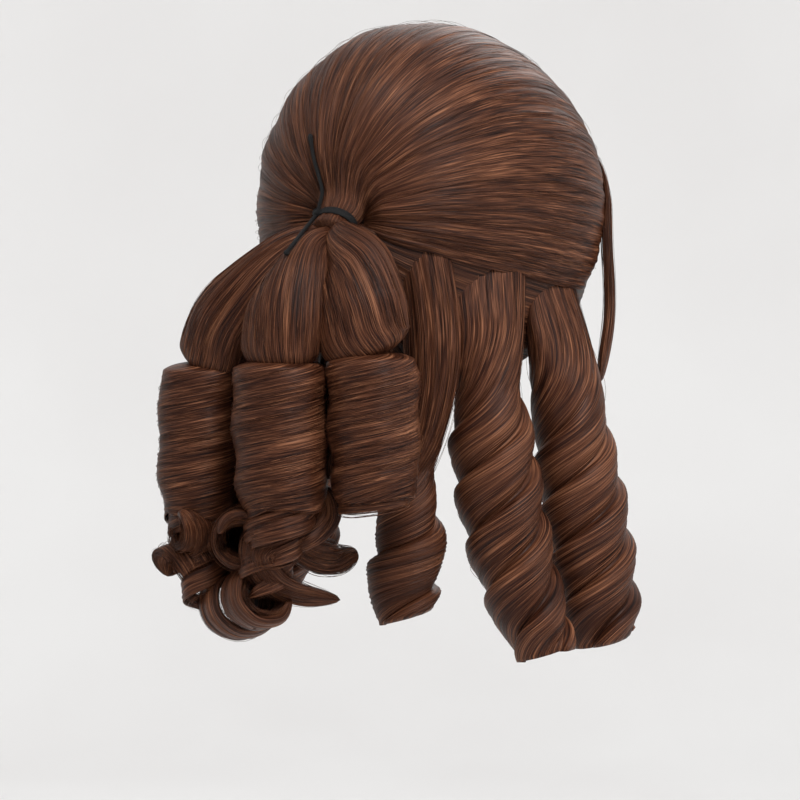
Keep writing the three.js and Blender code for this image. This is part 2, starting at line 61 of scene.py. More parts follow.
print("solids to dress:", sorted(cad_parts))

# %% [markdown]
# ## The camera
# The picture is taken from behind the wearer and to their right, a little above the level of the
# nape, with a long lens. A long lens keeps the ringlets near and far almost the same size, so the
# distance comes first and the focal length follows from it.

# %% Camera
CAMERA_TURN = math.radians(31)
CAMERA_RISE = math.radians(3)
CAMERA_DISTANCE = 1.6
CAMERA_AIM = Vector((0.0165, 0.0103, -0.187))
LENS = 133.56
SENSOR_WIDTH = 36

ahead = Vector((
    math.sin(CAMERA_TURN) * math.cos(CAMERA_RISE),
    -math.cos(CAMERA_TURN) * math.cos(CAMERA_RISE),
    -math.sin(CAMERA_RISE),
))
bpy.ops.object.camera_add(location=CAMERA_AIM - CAMERA_DISTANCE * ahead)
camera = bpy.context.object
camera.rotation_euler = ahead.to_track_quat("-Z", "Y").to_euler()
camera.data.lens = LENS
camera.data.sensor_width = SENSOR_WIDTH
camera.data.clip_end = 40
bpy.context.scene.camera = camera
print("camera at", [round(c, 3) for c in camera.location])

# %% [markdown]
# ## Shader maths as plain expressions
# A material is a tree of nodes. Writing one node at a time is long, so a small class wraps a
# socket and lets Python's own operators add the Math nodes. Every other node comes from one
# method that takes its type, its settings and its sockets.


# %% Sockets that can be added and multiplied
class Value:
    """A number that changes over a surface: the output of some node."""

    def __init__(self, look, socket):
        self.look = look
        self.socket = socket

    def maths(self, operation, first, second=0.0):
        made = self.look.node("ShaderNodeMath", {"operation": operation}, {0: first, 1: second})
        return Value(self.look, made.outputs[0])

    def __add__(self, other):
        return self.maths("ADD", self, other)

    def __radd__(self, other):
        return self.maths("ADD", other, self)

    def __sub__(self, other):
        return self.maths("SUBTRACT", self, other)

    def __rsub__(self, other):
        return self.maths("SUBTRACT", other, self)

    def __mul__(self, other):
        return self.maths("MULTIPLY", self, other)

    def __rmul__(self, other):
        return self.maths("MULTIPLY", other, self)

    def __truediv__(self, other):
        return self.maths("DIVIDE", self, other)

    def __pow__(self, other):
        return self.maths("POWER", self, other)

    def sine(self):
        return self.maths("SINE", self)


class Look:
    """A material, with one method that makes its nodes."""

    def __init__(self, name):
        self.material = bpy.data.materials.new(name)
        self.material.use_nodes = True
        self.tree = self.material.node_tree
        self.shader = self.tree.nodes["Principled BSDF"]

    def join(self, value, socket):
        value = getattr(value, "socket", value)
        if isinstance(value, bpy.types.NodeSocket):
            self.tree.links.new(value, socket)
        else:
            socket.default_value = value

    def node(self, kind, settings=None, sockets=None):
        made = self.tree.nodes.new(kind)
        for name, setting in (settings or {}).items():
            if name == "stops":
                self.set_stops(made.color_ramp.elements, setting)
            else:
                setattr(made, name, setting)
        for name, value in (sockets or {}).items():
            self.join(value, made.inputs[name])
        return made

    def set_stops(self, elements, stops):
        while len(elements) < len(stops):
            elements.new(0.5)
        for element, (place, colour) in zip(elements, stops):
            element.position = place
            element.color = (*colour, 1)

    def surface(self, **sockets):
        for name, value in sockets.items():
            self.join(value, self.shader.inputs[name.replace("_", " ")])

    def uv(self):
        return self.node("ShaderNodeTexCoord").outputs["UV"]

    def noise(self, place, density, detail=2.0, roughness=0.5):
        """Noise with so many grains a metre across and along the strands."""
        stretched = self.node(
            "ShaderNodeVectorMath",
            {"operation": "MULTIPLY"},
            {0: place, 1: (density[0], density[1], 1.0)},
        ).outputs[0]
        sockets = {"Vector": stretched, "Scale": 1.0, "Detail": detail, "Roughness": roughness}
        return Value(self, self.node("ShaderNodeTexNoise", {}, sockets).outputs[0])

    def ramp(self, value, stops):
        return self.node("ShaderNodeValToRGB", {"stops": stops}, {"Fac": value}).outputs[0]

    def bump(self, height, distance, strength=1.0):
        sockets = {"Height": height, "Distance": distance, "Strength": strength}
        return self.node("ShaderNodeBump", {}, sockets).outputs[0]


# %% [markdown]
# ## Hair as a finish
# Synthetic hair is thousands of smooth fibres that lie side by side, so its colour and its gloss
# change quickly across the strands and hardly at all along them. Each hair piece therefore carries
# a UV map in metres whose first number runs across its strands and whose second runs along them,
# and the same stretched noise suits them all.


# %% Hair, cap net, elastic and studio finishes
def hair_look(name, shade):
    look = Look(name)
    place = look.uv()
    fibres = look.noise(place, (2600, 45), 2.0, 0.6)
    strands = look.noise(place, (1250, 34), 2.0, 0.6)
    locks = look.noise(place, (190, 13), 2.0, 0.5)
    tone = fibres * 0.38 + strands * 0.38 + locks * 0.24
    stops = [
        (0.39, (0.0050, 0.0014, 0.0007)),
        (0.46, (0.0230, 0.0066, 0.0030)),
        (0.53, (0.0660, 0.0225, 0.0105)),
        (0.63, (0.2050, 0.0860, 0.0430)),
    ]
    # shade scales every colour; below 1 it makes a painted-shade copy of the same finish
    shaded = [(at, tuple(shade * part for part in colour)) for at, colour in stops]
    height = fibres + strands * 1.2
    look.surface(
        Base_Color=look.ramp(tone, shaded),
        Roughness=strands * 0.25 + 0.30,
        Normal=look.bump(height, 0.0005, 0.6),
    )
    look.shader.inputs["Specular IOR Level"].default_value = 0.10
    return look.material


def net_look():
    look = Look("cap_net_finish")
    place = look.uv()
    parts = look.node("ShaderNodeSeparateXYZ", {}, {0: place})
    across = Value(look, parts.outputs["X"])
    along = Value(look, parts.outputs["Y"])
    mesh = (across * 2600).sine() * (along * 2600).sine()
    seams = ((along * 700).sine() * 0.5 + 0.5) ** 8
    fibres = look.noise(place, (900, 900), 3.0)
    tone = mesh * 0.22 + fibres * 0.35 + seams * 0.3
    stops = [(0.0, (0.006, 0.0032, 0.0022)), (0.7, (0.034, 0.0180, 0.0120))]
    look.surface(
        Base_Color=look.ramp(tone, stops),
        Roughness=fibres * 0.2 + 0.68,
        Normal=look.bump(mesh * 0.5 + seams, 0.0004, 0.8),
    )
    look.shader.inputs["Specular IOR Level"].default_value = 0.12
    return look.material


def elastic_look():
    look = Look("black_elastic_finish")
    place = look.uv()
    parts = look.node("ShaderNodeSeparateXYZ", {}, {0: place})
    across = Value(look, parts.outputs["X"])
    along = Value(look, parts.outputs["Y"])
    ribs = (across * 9000 + along * 5200).sine()
    fuzz = look.noise(place, (1500, 1500), 3.0)
    stops = [(0.25, (0.0025, 0.0025, 0.0028)), (0.8, (0.018, 0.017, 0.017))]
    look.surface(
        Base_Color=look.ramp(ribs * 0.22 + fuzz * 0.7 + 0.1, stops),
        Roughness=fuzz * 0.2 + 0.52,
        Normal=look.bump(ribs, 0.00015, 0.9),
    )
    look.shader.inputs["Specular IOR Level"].default_value = 0.12
    return look.material


def studio_look():
    look = Look("studio_paper")
    grain = look.noise(look.node("ShaderNodeTexCoord").outputs["Object"], (1.5, 1.5))
    stops = [(0.3, (0.80, 0.79, 0.785)), (0.7, (0.84, 0.835, 0.83))]
    look.surface(Base_Color=look.ramp(grain, stops))
    look.shader.inputs["Roughness"].default_value = 0.9
    look.shader.inputs["Specular IOR Level"].default_value = 0.1
    return look.material


hair_finish = hair_look("brown_hair_finish", 1.0)
# the same hair finish darkened to 0.72 as painted shade, for hair that lies in shade
painted_shade_hair_finish = hair_look("painted_shade_hair_finish", 0.72)
net_finish = net_look()
elastic_finish = elastic_look()
print("finishes:", hair_finish.name, painted_shade_hair_finish.name, net_finish.name, elastic_finish.name)

# %% [markdown]
# ## A grid that is moved into shape
# Each lock is made from one flat grid whose columns run across the strands and whose rows run
# along them. A function then says where each point of the grid goes, so the relief and the UV map
# follow the strands by themselves. Where the grid closes on itself its doubled points are merged
# and its normals are worked out again.


# %% Helpers for every hair piece
MERGE_DISTANCE = 1e-6


def deselect_all():
    bpy.ops.object.select_all(action="DESELECT")


def close_and_smooth(piece):
    deselect_all()
    piece.select_set(True)
    bpy.context.view_layer.objects.active = piece
    bpy.ops.object.mode_set(mode="EDIT")
    bpy.ops.mesh.select_all(action="SELECT")
    bpy.ops.mesh.remove_doubles(threshold=MERGE_DISTANCE)
    bpy.ops.mesh.normals_make_consistent(inside=False)
    bpy.ops.object.mode_set(mode="OBJECT")
    bpy.ops.object.shade_smooth()


def combed_grid(name, columns, rows, place, comb):
    """A grid moved by place(across, along), with comb(across, along) as its UV map in metres."""
    deselect_all()
    bpy.ops.mesh.primitive_grid_add(x_subdivisions=columns, y_subdivisions=rows, size=1)
    piece = bpy.context.object
    piece.name = name
    piece.data.name = name
    points = np.empty(3 * len(piece.data.vertices))
    piece.data.vertices.foreach_get("co", points)
    shares = np.clip(points.reshape(-1, 3)[:, :2] + 0.5, 0, 1)
    corners = np.empty(len(piece.data.loops), int)
    piece.data.loops.foreach_get("vertex_index", corners)
    combed = np.stack(comb(shares[:, 0], shares[:, 1]), -1)[corners]
    piece.data.uv_layers.active.data.foreach_set("uv", combed.ravel())
    piece.data.vertices.foreach_set("co", place(shares[:, 0], shares[:, 1]).ravel())
    close_and_smooth(piece)
    return piece


def combed_by(width, length):
    return lambda across, along: (across * width, along * length)


def wear(piece, finish, slot, *nodes):
    """The finish, the body that the piece rides on, and the solids that it stands for."""
    piece.data.materials.clear()
    piece.data.materials.append(finish)
    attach(piece, "root")
    if nodes:
        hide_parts(*nodes)
    print(f"{piece.name}: {len(piece.data.polygons)} faces")
    return piece


# %% [markdown]
# ## Smooth lines and clumps of strands
# A lock follows a smooth line through a few rows of a table, the same rows that the solid has. Its
# surface isn't smooth: fibres gather in clumps a few millimetres wide, with a fine furrow between
# one clump and the next, and the clumps drift a little from side to side on their way down.


# %% Lines, clumps and drift
def smooth_line(rows, shares):
    """Points on a spline through the rows, at shares of it from 0 to 1."""
    rows = np.asarray(rows, float)
    padded = np.vstack([2 * rows[0] - rows[1], rows, 2 * rows[-1] - rows[-2]])
    spans = len(rows) - 1
    reached = np.clip(shares, 0, 1) * spans
    index = np.minimum(reached.astype(int), spans - 1)
    t = (reached - index)[:, None]
    p0, p1, p2, p3 = (padded[index + step] for step in range(4))
    g0, g1, g2 = (
        np.maximum(np.linalg.norm(b - a, axis=1), 1e-7)[:, None] ** 0.5
        for a, b in ((p0, p1), (p1, p2), (p2, p3))
    )
    m1 = ((p1 - p0) / g0 - (p2 - p0) / (g0 + g1) + (p2 - p1) / g1) * g1
    m2 = ((p2 - p1) / g1 - (p3 - p1) / (g1 + g2) + (p3 - p2) / g2) * g1
    return (
        p1
        + m1 * t
        + (3 * (p2 - p1) - 2 * m1 - m2) * t**2
        + (2 * (p1 - p2) + m1 + m2) * t**3
    )


def clumps(across, count, seed):
    """Height from 0 to 1 of rounded clumps side by side, repeating after across has run 1."""
    dice = np.random.default_rng(seed)
    edges = (np.arange(count) + dice.uniform(-0.36, 0.36, count)) / count
    edges = np.append(edges - edges[0], 1.0)
    heights = dice.uniform(0.35, 1.0, count)
    across = across - np.floor(across)
    index = np.clip(np.searchsorted(edges, across, side="right") - 1, 0, count - 1)
    middle = 2 * (across - edges[index]) / (edges[index + 1] - edges[index]) - 1
    return heights[index] * (1 - middle**2)


def layered(across, seed, *layers):
    """Clumps within clumps: each layer is a depth in metres and a count, and has its own seed."""
    raised = (depth * clumps(across, count, seed + n) for n, (depth, count) in enumerate(layers, 1))
    return sum(raised)


def drift(across, along, size, seed):
    """How far the strands wander sideways. It repeats after across has run 1."""
    dice = np.random.default_rng(seed)
    moved = np.zeros(np.broadcast(across, along).shape)
    for turns, waves in ((1, 0.8), (3, 1.3), (5, 2.1), (11, 3.3)):
        start = dice.uniform(0, 2 * math.pi)
        moved += np.sin(2 * math.pi * (turns * across + waves * along) + start) / turns
    return size * moved


def ease(value, low, high):
    share = np.clip((value - low) / (high - low), 0, 1)
    return share * share * (3 - 2 * share)


# %% [markdown]
# ## The head that the cap is made for
# The cap and the swept hair both lie over the form of a head. A place on it is given by two
# angles: reach, from the gather behind the head towards the brow, and round, about the line
# from the gather through the head. Depth is how far the place lies over the head.

# %% Sizes of the head and of the hair on it
HEAD_WIDTH = 0.154
HEAD_LENGTH = 0.196
CROWN_RISE = 0.093
NAPE_FALL = 0.112
CROWN_SET_BACK = 0.011
GATHER_RISE = math.radians(4)
LARGE_RADIUS = (HEAD_WIDTH + HEAD_LENGTH) / 4

CAP_WALL = 0.0012
UNDERSIDE = CAP_WALL * 0.6
SEAT_GAP = 0.0012
CROWN_HAIR_DEPTH = 0.0095
CROWN_HAIR_LIFT = 0.0025
CROWN_FURROW = 0.0009
NAPE_HAIR_DEPTH = 0.005
NECK_DIAMETER = 0.022
NECK_LENGTH = 0.020
NECK_PITCH = math.radians(48)

CAP_EDGE_RISE = (-90, -60, -35, -20, 0, 30, 60, 90)
CAP_EDGE_REACH = (47, 59, 82, 104, 112, 128, 142, 146)
SWEPT_REACH = (0, 15, 30, 60, 90, 115)
SWEPT_DIP = (30, 28, 23, 21, 22, 23)


def over_head(reach, about, depth):
    reach, about, depth = np.broadcast_arrays(reach, about, depth)
    side = np.sin(reach) * np.cos(about)
    back = np.cos(reach)
    up = np.sin(reach) * np.sin(about)
    turned_back = back * math.cos(GATHER_RISE) - up * math.sin(GATHER_RISE)
    turned_up = back * math.sin(GATHER_RISE) + up * math.cos(GATHER_RISE)
    way = np.stack([side, turned_back, turned_up], -1)
    half_height = np.where(way[..., 2] > 0, CROWN_RISE, NAPE_FALL)
    half = np.stack([HEAD_WIDTH / 2 + depth, HEAD_LENGTH / 2 + depth, half_height + depth], -1)
    point = way / np.linalg.norm(way / half, axis=-1, keepdims=True)
    point[..., 1] += CROWN_SET_BACK * np.maximum(point[..., 2], 0) / half[..., 2]
    point[..., 2] -= CROWN_RISE
    return point


def clear_of_cap(points, depth):
    """Points inside the head's form are pushed out until they lie so deep over it."""
    at = points + np.array([0, 0, CROWN_RISE])
    half_height = np.where(at[:, 2] > 0, CROWN_RISE, NAPE_FALL) + depth
    set_back = CROWN_SET_BACK * np.maximum(at[:, 2], 0) / half_height
    at[:, 1] -= set_back
    sides = np.full_like(half_height, HEAD_WIDTH / 2 + depth)
    backs = np.full_like(half_height, HEAD_LENGTH / 2 + depth)
    inside = np.linalg.norm(at / np.stack([sides, backs, half_height], -1), axis=1, keepdims=True)
    at = at / np.clip(inside, 0.2, 1)
    at[:, 1] += set_back
    at[:, 2] -= CROWN_RISE
    return at


def cap_reach(about):
    rise = np.degrees(np.arcsin(np.clip(np.sin(about), -1, 1)))
    return np.radians(np.interp(rise, CAP_EDGE_RISE, CAP_EDGE_REACH))


def swept_dip(reach):
    return np.radians(np.interp(np.degrees(reach), SWEPT_REACH, SWEPT_DIP))


NECK_WAY = np.array([0, math.cos(NECK_PITCH), -math.sin(NECK_PITCH)])
NECK_UP = np.array([0, math.sin(NECK_PITCH), math.cos(NECK_PITCH)])
NECK_ROOT = over_head(0.0, 0.0, CAP_WALL + 0.0004)
NECK_LEAN = np.array([-0.0045, -0.0005, 0.0028])


def neck_at(share):
    return NECK_ROOT + np.multiply.outer(share, NECK_LENGTH * NECK_WAY)


def pulled_neck(share):
    """The neck as it was tied: a little to the right of the middle and up."""
    return neck_at(share) + NECK_LEAN


print("elastic's place:", np.round(neck_at(0.6), 4))

# %% [markdown]
# ## The cap
# Under the hair is a fitted cap of fine net, open below, with rows of stitching that carry the
# hair. It shows from the front and from below. It is made as one skin that runs from the pole
# behind the head out over the edge and back inside, so it has a wall of the real thickness.


# %% Cap
CAP_BINDING = 0.0006


def cap_place(across, along):
    about = 2 * math.pi * across
    out = along < 0.5
    share = 1 - np.abs(2 * along - 1)
    reach = share * cap_reach(about)
    binding = CAP_BINDING * ease(share, 0.93, 0.95)
    tuck = np.sqrt(np.clip((1 - share) / 0.006, 0, 1))
    middle = CAP_WALL / 2
    depth = middle + np.where(out, 1, -1) * (middle + np.where(out, binding, 0)) * tuck
    return over_head(reach, about, depth)


cap = combed_grid("wig_cap_net", 80, 64, cap_place, combed_by(0.5, 0.56))
wear(cap, net_finish, "cap_net", "wig_cap")

# %% [markdown]
# ## The swept-back crown
# The hair runs from the brow, the temples and over the ears to the elastic behind the head. The
# strands follow straight lines over the head to that one point, so the grid's rows run from the
# neck of hair inside the elastic to the hairline, and its outer columns and last rows roll under to
# the cap.

# %% Crown surface
NECK_SHARES = (-0.2, 0.2, 0.6, 1.0)
NECK_WIDE = (1.6, 1.1, 0.82, 1.0)
NECK_DEEP = (1.4, 1.0, 0.76, 0.95)
NECK_PART = 0.09
NECK_FOOT = 0.32
GATHER_PART = 0.25
FIRST_REACH = math.radians(17)
SIDE_ROLL = 0.013
BROW_ROLL = 0.012
ROLL_DEPTH = 0.0006


def swept_depth(across, along, reach, about):
    inside = np.clip(np.minimum(across, 1 - across) / 0.05, 0, 1)
    side = 0.66 + 0.34 * inside
    brow = 1 - 0.72 * ease(along, 0.86, 1)
    gather = 1 - 0.4 * np.exp(-((reach / math.radians(26)) ** 2))
    top = CROWN_HAIR_LIFT * np.maximum(0, np.sin(about)) * np.sin(reach)
    furrow = CROWN_FURROW * np.cos(18 * math.pi * across) * (1 - along)
    return (CROWN_HAIR_DEPTH + top) * side * brow * gather + furrow


def crown_relief(across, along):
    moved = across + drift(across, along, 0.0035, 11)
    broad = 0.0007 * clumps(moved, 26, 12) + 0.0005 * clumps(moved + 0.3, 74, 13)
    return broad + 0.00035 * clumps(moved, 190, 14) - 0.0007


def crown_on_head(across, along, roll, off):
    """The part of the crown that lies over the head: along runs from the gather to the brow."""
    last = cap_reach(across * math.pi)
    reach = FIRST_REACH + (last - FIRST_REACH) * along
    dip = swept_dip(reach)
    about = -dip + across * (math.pi + 2 * dip)
    full = CAP_WALL + SEAT_GAP + swept_depth(across, along, reach, about)
    full = full + crown_relief(across, along) * (1 - 0.7 * ease(along, 0.9, 1))
    depth = ROLL_DEPTH + (full - ROLL_DEPTH) * np.sqrt(np.maximum(1 - roll**2, 0))
    return over_head(reach, about, depth + off)


def crown_neck(across, share, off):
    turn = 2 * math.pi * across - math.pi / 2
    relief = 0.0006 * clumps(across, 16, 15) + off
    wide = np.interp(share, NECK_SHARES, NECK_WIDE) * NECK_DIAMETER / 2 + relief
    deep = np.interp(share, NECK_SHARES, NECK_DEEP) * NECK_DIAMETER / 2 + relief
    point = pulled_neck(share) + (np.sin(turn) * deep)[:, None] * NECK_UP
    point[:, 0] += np.cos(turn) * wide
    return point


def crown_place(across, along, off=0.0):
    inner = np.clip((across - SIDE_ROLL) / (1 - 2 * SIDE_ROLL), 0, 1)
    side = np.clip(np.maximum(SIDE_ROLL - across, across - 1 + SIDE_ROLL) / SIDE_ROLL, 0, 1)
    ahead_share = np.clip((along - GATHER_PART) / (1 - GATHER_PART - BROW_ROLL), 0, 1)
    brow = np.clip((along - 1 + BROW_ROLL) / BROW_ROLL, 0, 1)
    roll = np.clip(np.hypot(side, brow), 0, 1)
    head = crown_on_head(inner, ahead_share, roll, off)

    share = np.interp(along, (0, NECK_PART), (1.05, NECK_FOOT))
    neck = crown_neck(inner, share, off)
    step = 0.002
    start = crown_neck(inner, np.full_like(along, NECK_FOOT), off)
    finish = crown_on_head(inner, np.zeros_like(along), roll, off)
    onward = crown_on_head(inner, np.full_like(along, step), roll, off) - finish
    onward /= np.maximum(np.linalg.norm(onward, axis=1, keepdims=True), 1e-9)
    gap = np.linalg.norm(finish - start, axis=1, keepdims=True)
    t = np.clip((along - NECK_PART) / (GATHER_PART - NECK_PART), 0, 1)[:, None]
    first = start - gap * 0.24 * NECK_WAY
    second = finish - gap * 0.36 * onward
    bent = (
        (1 - t) ** 3 * start
        + 3 * t * (1 - t) ** 2 * first
        + 3 * t**2 * (1 - t) * second
        + t**3 * finish
    )
    closed = np.sqrt(np.clip(along / 0.012, 0, 1))[:, None]
    end = pulled_neck(np.full_like(along, 1.05))
    neck = end + (neck - end) * np.where(along[:, None] < 0.012, closed, 1)
    place = np.where(along[:, None] < GATHER_PART, clear_of_cap(bent, UNDERSIDE), head)
    return np.where(along[:, None] < NECK_PART, neck, place)


crown = combed_grid("swept_crown", 470, 96, crown_place, combed_by(0.42, 0.26))
wear(crown, hair_finish, "brown_hair", "crown_hair")


# %% [markdown]
# ## Locks along a line
# Swags, ringlets, end curls and face strands are all locks: a line through the rows of a table,
# with a width and a depth at each row. The width lies along the head and the depth away from it.


# %% A lock's frame, and its surface
def from_head(points):
    out = points * np.array([1.0, 1.0, 0.0])
    return out / np.linalg.norm(out, axis=1, keepdims=True)


def lock_frame(rows, along, away=from_head):
    """Middle points, width directions, depth directions and girths at shares of a lock."""
    rows = np.asarray(rows, float)
    middle = smooth_line(rows[:, :3], along)
    girth = smooth_line(rows[:, 3:], along)
    nudge = 1e-3
    before = smooth_line(rows[:, :3], np.clip(along, nudge, 1 - nudge) - nudge)
    after = smooth_line(rows[:, :3], np.clip(along, nudge, 1 - nudge) + nudge)
    tangent = after - before
    tangent /= np.linalg.norm(tangent, axis=1, keepdims=True)
    deep_way = away(middle)
    deep_way = deep_way - tangent * np.sum(deep_way * tangent, axis=1, keepdims=True)
    deep_way /= np.linalg.norm(deep_way, axis=1, keepdims=True)
    wide_way = np.cross(tangent, deep_way)
    return middle, wide_way, deep_way, girth


def lock_place(rows, turn, along, rim, raised, away=from_head):
    """Points of a lock at an angle round it. Rim scales its girth, and raised is added to it."""
    middle, wide_way, deep_way, girth = lock_frame(rows, along, away)
    wide = (girth[:, 0] / 2 + raised) * rim
    deep = (girth[:, 1] / 2 + raised) * rim
    return middle + (np.cos(turn) * wide)[:, None] * wide_way + (np.sin(turn) * deep)[:, None] * deep_way


def round_ends(along, first, last):
    """1 along most of a lock, and falling to 0 in a rounded way at both of its ends."""
    start = np.clip(along / first, 0, 1)
    finish = np.clip((1 - along) / last, 0, 1)
    return np.sqrt(1 - (1 - start) ** 2) * np.sqrt(1 - (1 - finish) ** 2)


# %% [markdown]
# ## Three swags
# Below the elastic the ponytail parts into three smooth lobes that swell and tuck under. The
# strands run down them from the elastic, so the rows of the grid follow each lobe's own line.

# %% Swags
PONYTAIL_SPREAD = 0.100
SWAG_GIRTH = 0.050
# Columns: left, back and drop from the neck's end, in spreads; wide and deep, in girths.
SWAGS = {
    "swag_left": (
        (0.05, -0.02, 0.00, 0.22, 0.26),
        (0.15, 0.08, 0.06, 0.42, 0.38),
        (0.30, 0.19, 0.24, 0.66, 0.54),
        (0.44, 0.23, 0.41, 0.80, 0.60),
        (0.52, 0.22, 0.55, 0.80, 0.62),
        (0.59, 0.22, 0.66, 0.62, 0.54),
    ),
    "swag_middle": (
        (0.00, 0.00, 0.02, 0.22, 0.26),
        (0.01, 0.12, 0.07, 0.44, 0.38),
        (0.00, 0.26, 0.23, 0.74, 0.54),
        (0.01, 0.33, 0.40, 0.86, 0.62),
        (0.03, 0.35, 0.54, 0.84, 0.62),
        (0.04, 0.34, 0.63, 0.62, 0.52),
    ),
    "swag_right": (
        (-0.05, -0.02, 0.00, 0.22, 0.26),
        (-0.12, 0.06, 0.04, 0.46, 0.38),
        (-0.28, 0.14, 0.16, 0.80, 0.54),
        (-0.34, 0.18, 0.32, 0.92, 0.64),
        (-0.36, 0.19, 0.48, 0.94, 0.64),
        (-0.39, 0.16, 0.59, 0.68, 0.52),
    ),
}


def from_neck(left, back, drop):
    return neck_at(1.0) + PONYTAIL_SPREAD * np.array([left, back, -drop])


def table_rows(table, girth, thickness):
    return [
        (*from_neck(left, back, drop), wide * girth, deep * thickness)
        for left, back, drop, wide, deep in table
    ]


SWAG_SWEEP = 0.75


def swag_surface(rows, seed):
    def place(across, along, off=0.0):
        turn = 2 * math.pi * across - math.pi / 2 + SWAG_SWEEP * along**1.6
        moved = across + drift(across, along, 0.006, seed)
        relief = layered(moved, seed, (0.0008, 5), (0.00022, 31), (0.00022, 83)) - 0.0006
        rim = round_ends(along, 0.04, 0.1)
        lean = NECK_LEAN * (1 - ease(along, 0.05, 0.5))[:, None]
        return lock_place(rows, turn, along, rim, relief + off) + lean

    return place


swag_places = {}
for number, (node, table) in enumerate(SWAGS.items()):
    rows = table_rows(table, SWAG_GIRTH, SWAG_GIRTH)
    swag_places[node] = swag_surface(rows, 20 + 5 * number)
    swag = combed_grid(f"{node}_hair", 150, 62, swag_places[node], combed_by(0.125, 0.085))
    wear(swag, hair_finish, "brown_hair", node)

# %% [markdown]
# ## Three barrel curls
# Each swag ends in hair that was wound level round a rod. The strands run round the barrel with a
# slope of only about ten degrees, and the foot is open. The skin goes down the outside, round the
# foot and back up inside, and its ridges follow a helix.

# %% Barrels
BARREL_HEIGHT = 0.070
BARREL_DIAMETER = 0.048
BARREL_BORE = 0.030
BARREL_BORE_DEPTH = 0.040
BARREL_LEAD = 0.026
# Columns: the swag above, size and length as shares, lean to the left and back, bands' depth.
BARRELS = {
    "barrel_left": ("swag_left", 0.95, 1.04, 0.02, 0.02, 0.0010),
    "barrel_middle": ("swag_middle", 1.03, 1.0, -0.02, 0.0, 0.0006),
    "barrel_right": ("swag_right", 0.98, 0.98, -0.03, 0.0, 0.0008),
}
BARREL_ALONG = (-0.06, 0.0, 0.1, 0.5, 0.85, 1.0)
BARREL_WIDE = (0.84, 0.95, 0.99, 1.0, 0.94, 0.84)
BARREL_DEEP = (0.76, 0.90, 0.94, 0.96, 0.90, 0.80)
FOOT = 0.74


def fold_up(along, foot, rise):
    """Share down a hollow lock, share of its way inside, and closing at the top of its bore."""
    inner = np.clip((along - foot) / (1 - foot), 0, 1)
    down = np.where(along < foot, along / foot, 1 - rise * np.clip((inner - 0.14) / 0.86, 0, 1))
    inside = ease(inner, 0, 0.14)
    closing = np.sqrt(np.clip((1 - inner) / 0.08, 0, 1))
    return down, inside, closing


def barrel_surface(above, size, long, lean_left, lean_back, band, seed):
    top = from_neck(*SWAGS[above][-1][:3])
    way = np.array([lean_left, lean_back, -1.0])
    height = long * BARREL_HEIGHT
    outward = from_head(top[None, :])

    def place(across, along, off=0.0):
        down, inside, closing = fold_up(along, FOOT, BARREL_BORE_DEPTH / height)
        down = down * 1.06 - 0.06
        turn = 2 * math.pi * across - math.pi / 2
        drop = down * height
        strand = drop / BARREL_LEAD + across + drift(across, down, 0.012, seed)
        relief = layered(strand, seed, (0.0004, 4), (0.0002, 19), (0.00015, 47)) - 0.0008
        sway = 2 * math.pi * (across + 2.2 * down) + seed
        relief = relief + band * np.sin(sway) + 0.0007 * np.sin(15 * down + seed)
        wide = np.interp(down, BARREL_ALONG, BARREL_WIDE) * size * BARREL_DIAMETER / 2 + relief
        deep = np.interp(down, BARREL_ALONG, BARREL_DEEP) * size * BARREL_DIAMETER / 2 + relief
        bore = BARREL_BORE / 2 * (0.92 + 0.06 * np.sin(3 * turn + 9 * down))
        start = np.sqrt(1 - (1 - np.clip(along / 0.05, 0, 1)) ** 2)
        wide = (wide * (1 - inside) + bore * inside + off) * closing * start
        deep = (deep * (1 - inside) + bore * inside + off) * closing * start
        lip = 0.002 * np.sin(math.pi * inside) + 0.0012 * np.sin(2 * turn + seed) * ease(down, 0.8, 1)
        side_way = np.cross(way, outward)
        side_way /= np.linalg.norm(side_way)
        middle = top + (drop + lip)[:, None] * way
        return middle + (np.cos(turn) * wide)[:, None] * side_way + (np.sin(turn) * deep)[:, None] * outward

    def comb(across, along):
        drop = along / FOOT * height
        return drop + across * BARREL_LEAD, across * math.pi * size * BARREL_DIAMETER

    return place, comb


barrel_places = {}
for number, (node, row) in enumerate(BARRELS.items()):
    place, comb = barrel_surface(*row, 40 + 5 * number)
    barrel_places[node] = place
    barrel = combed_grid(f"{node}_curl", 64, 170, place, comb)
    wear(barrel, hair_finish, "brown_hair", node)

# %% [markdown]
# ## Loose end curls
# Below the barrels the ends have sprung into open coils and one long wave. Each is a flat ribbon of
# strands wound along an axis or laid through the rows of a table.

# %% End curls
END_CURL_GIRTH = 0.022
END_CURL_THICKNESS = 0.008
END_CURL_TURN_HEIGHT = 0.024
RIBBON_THINNING = 0.0012
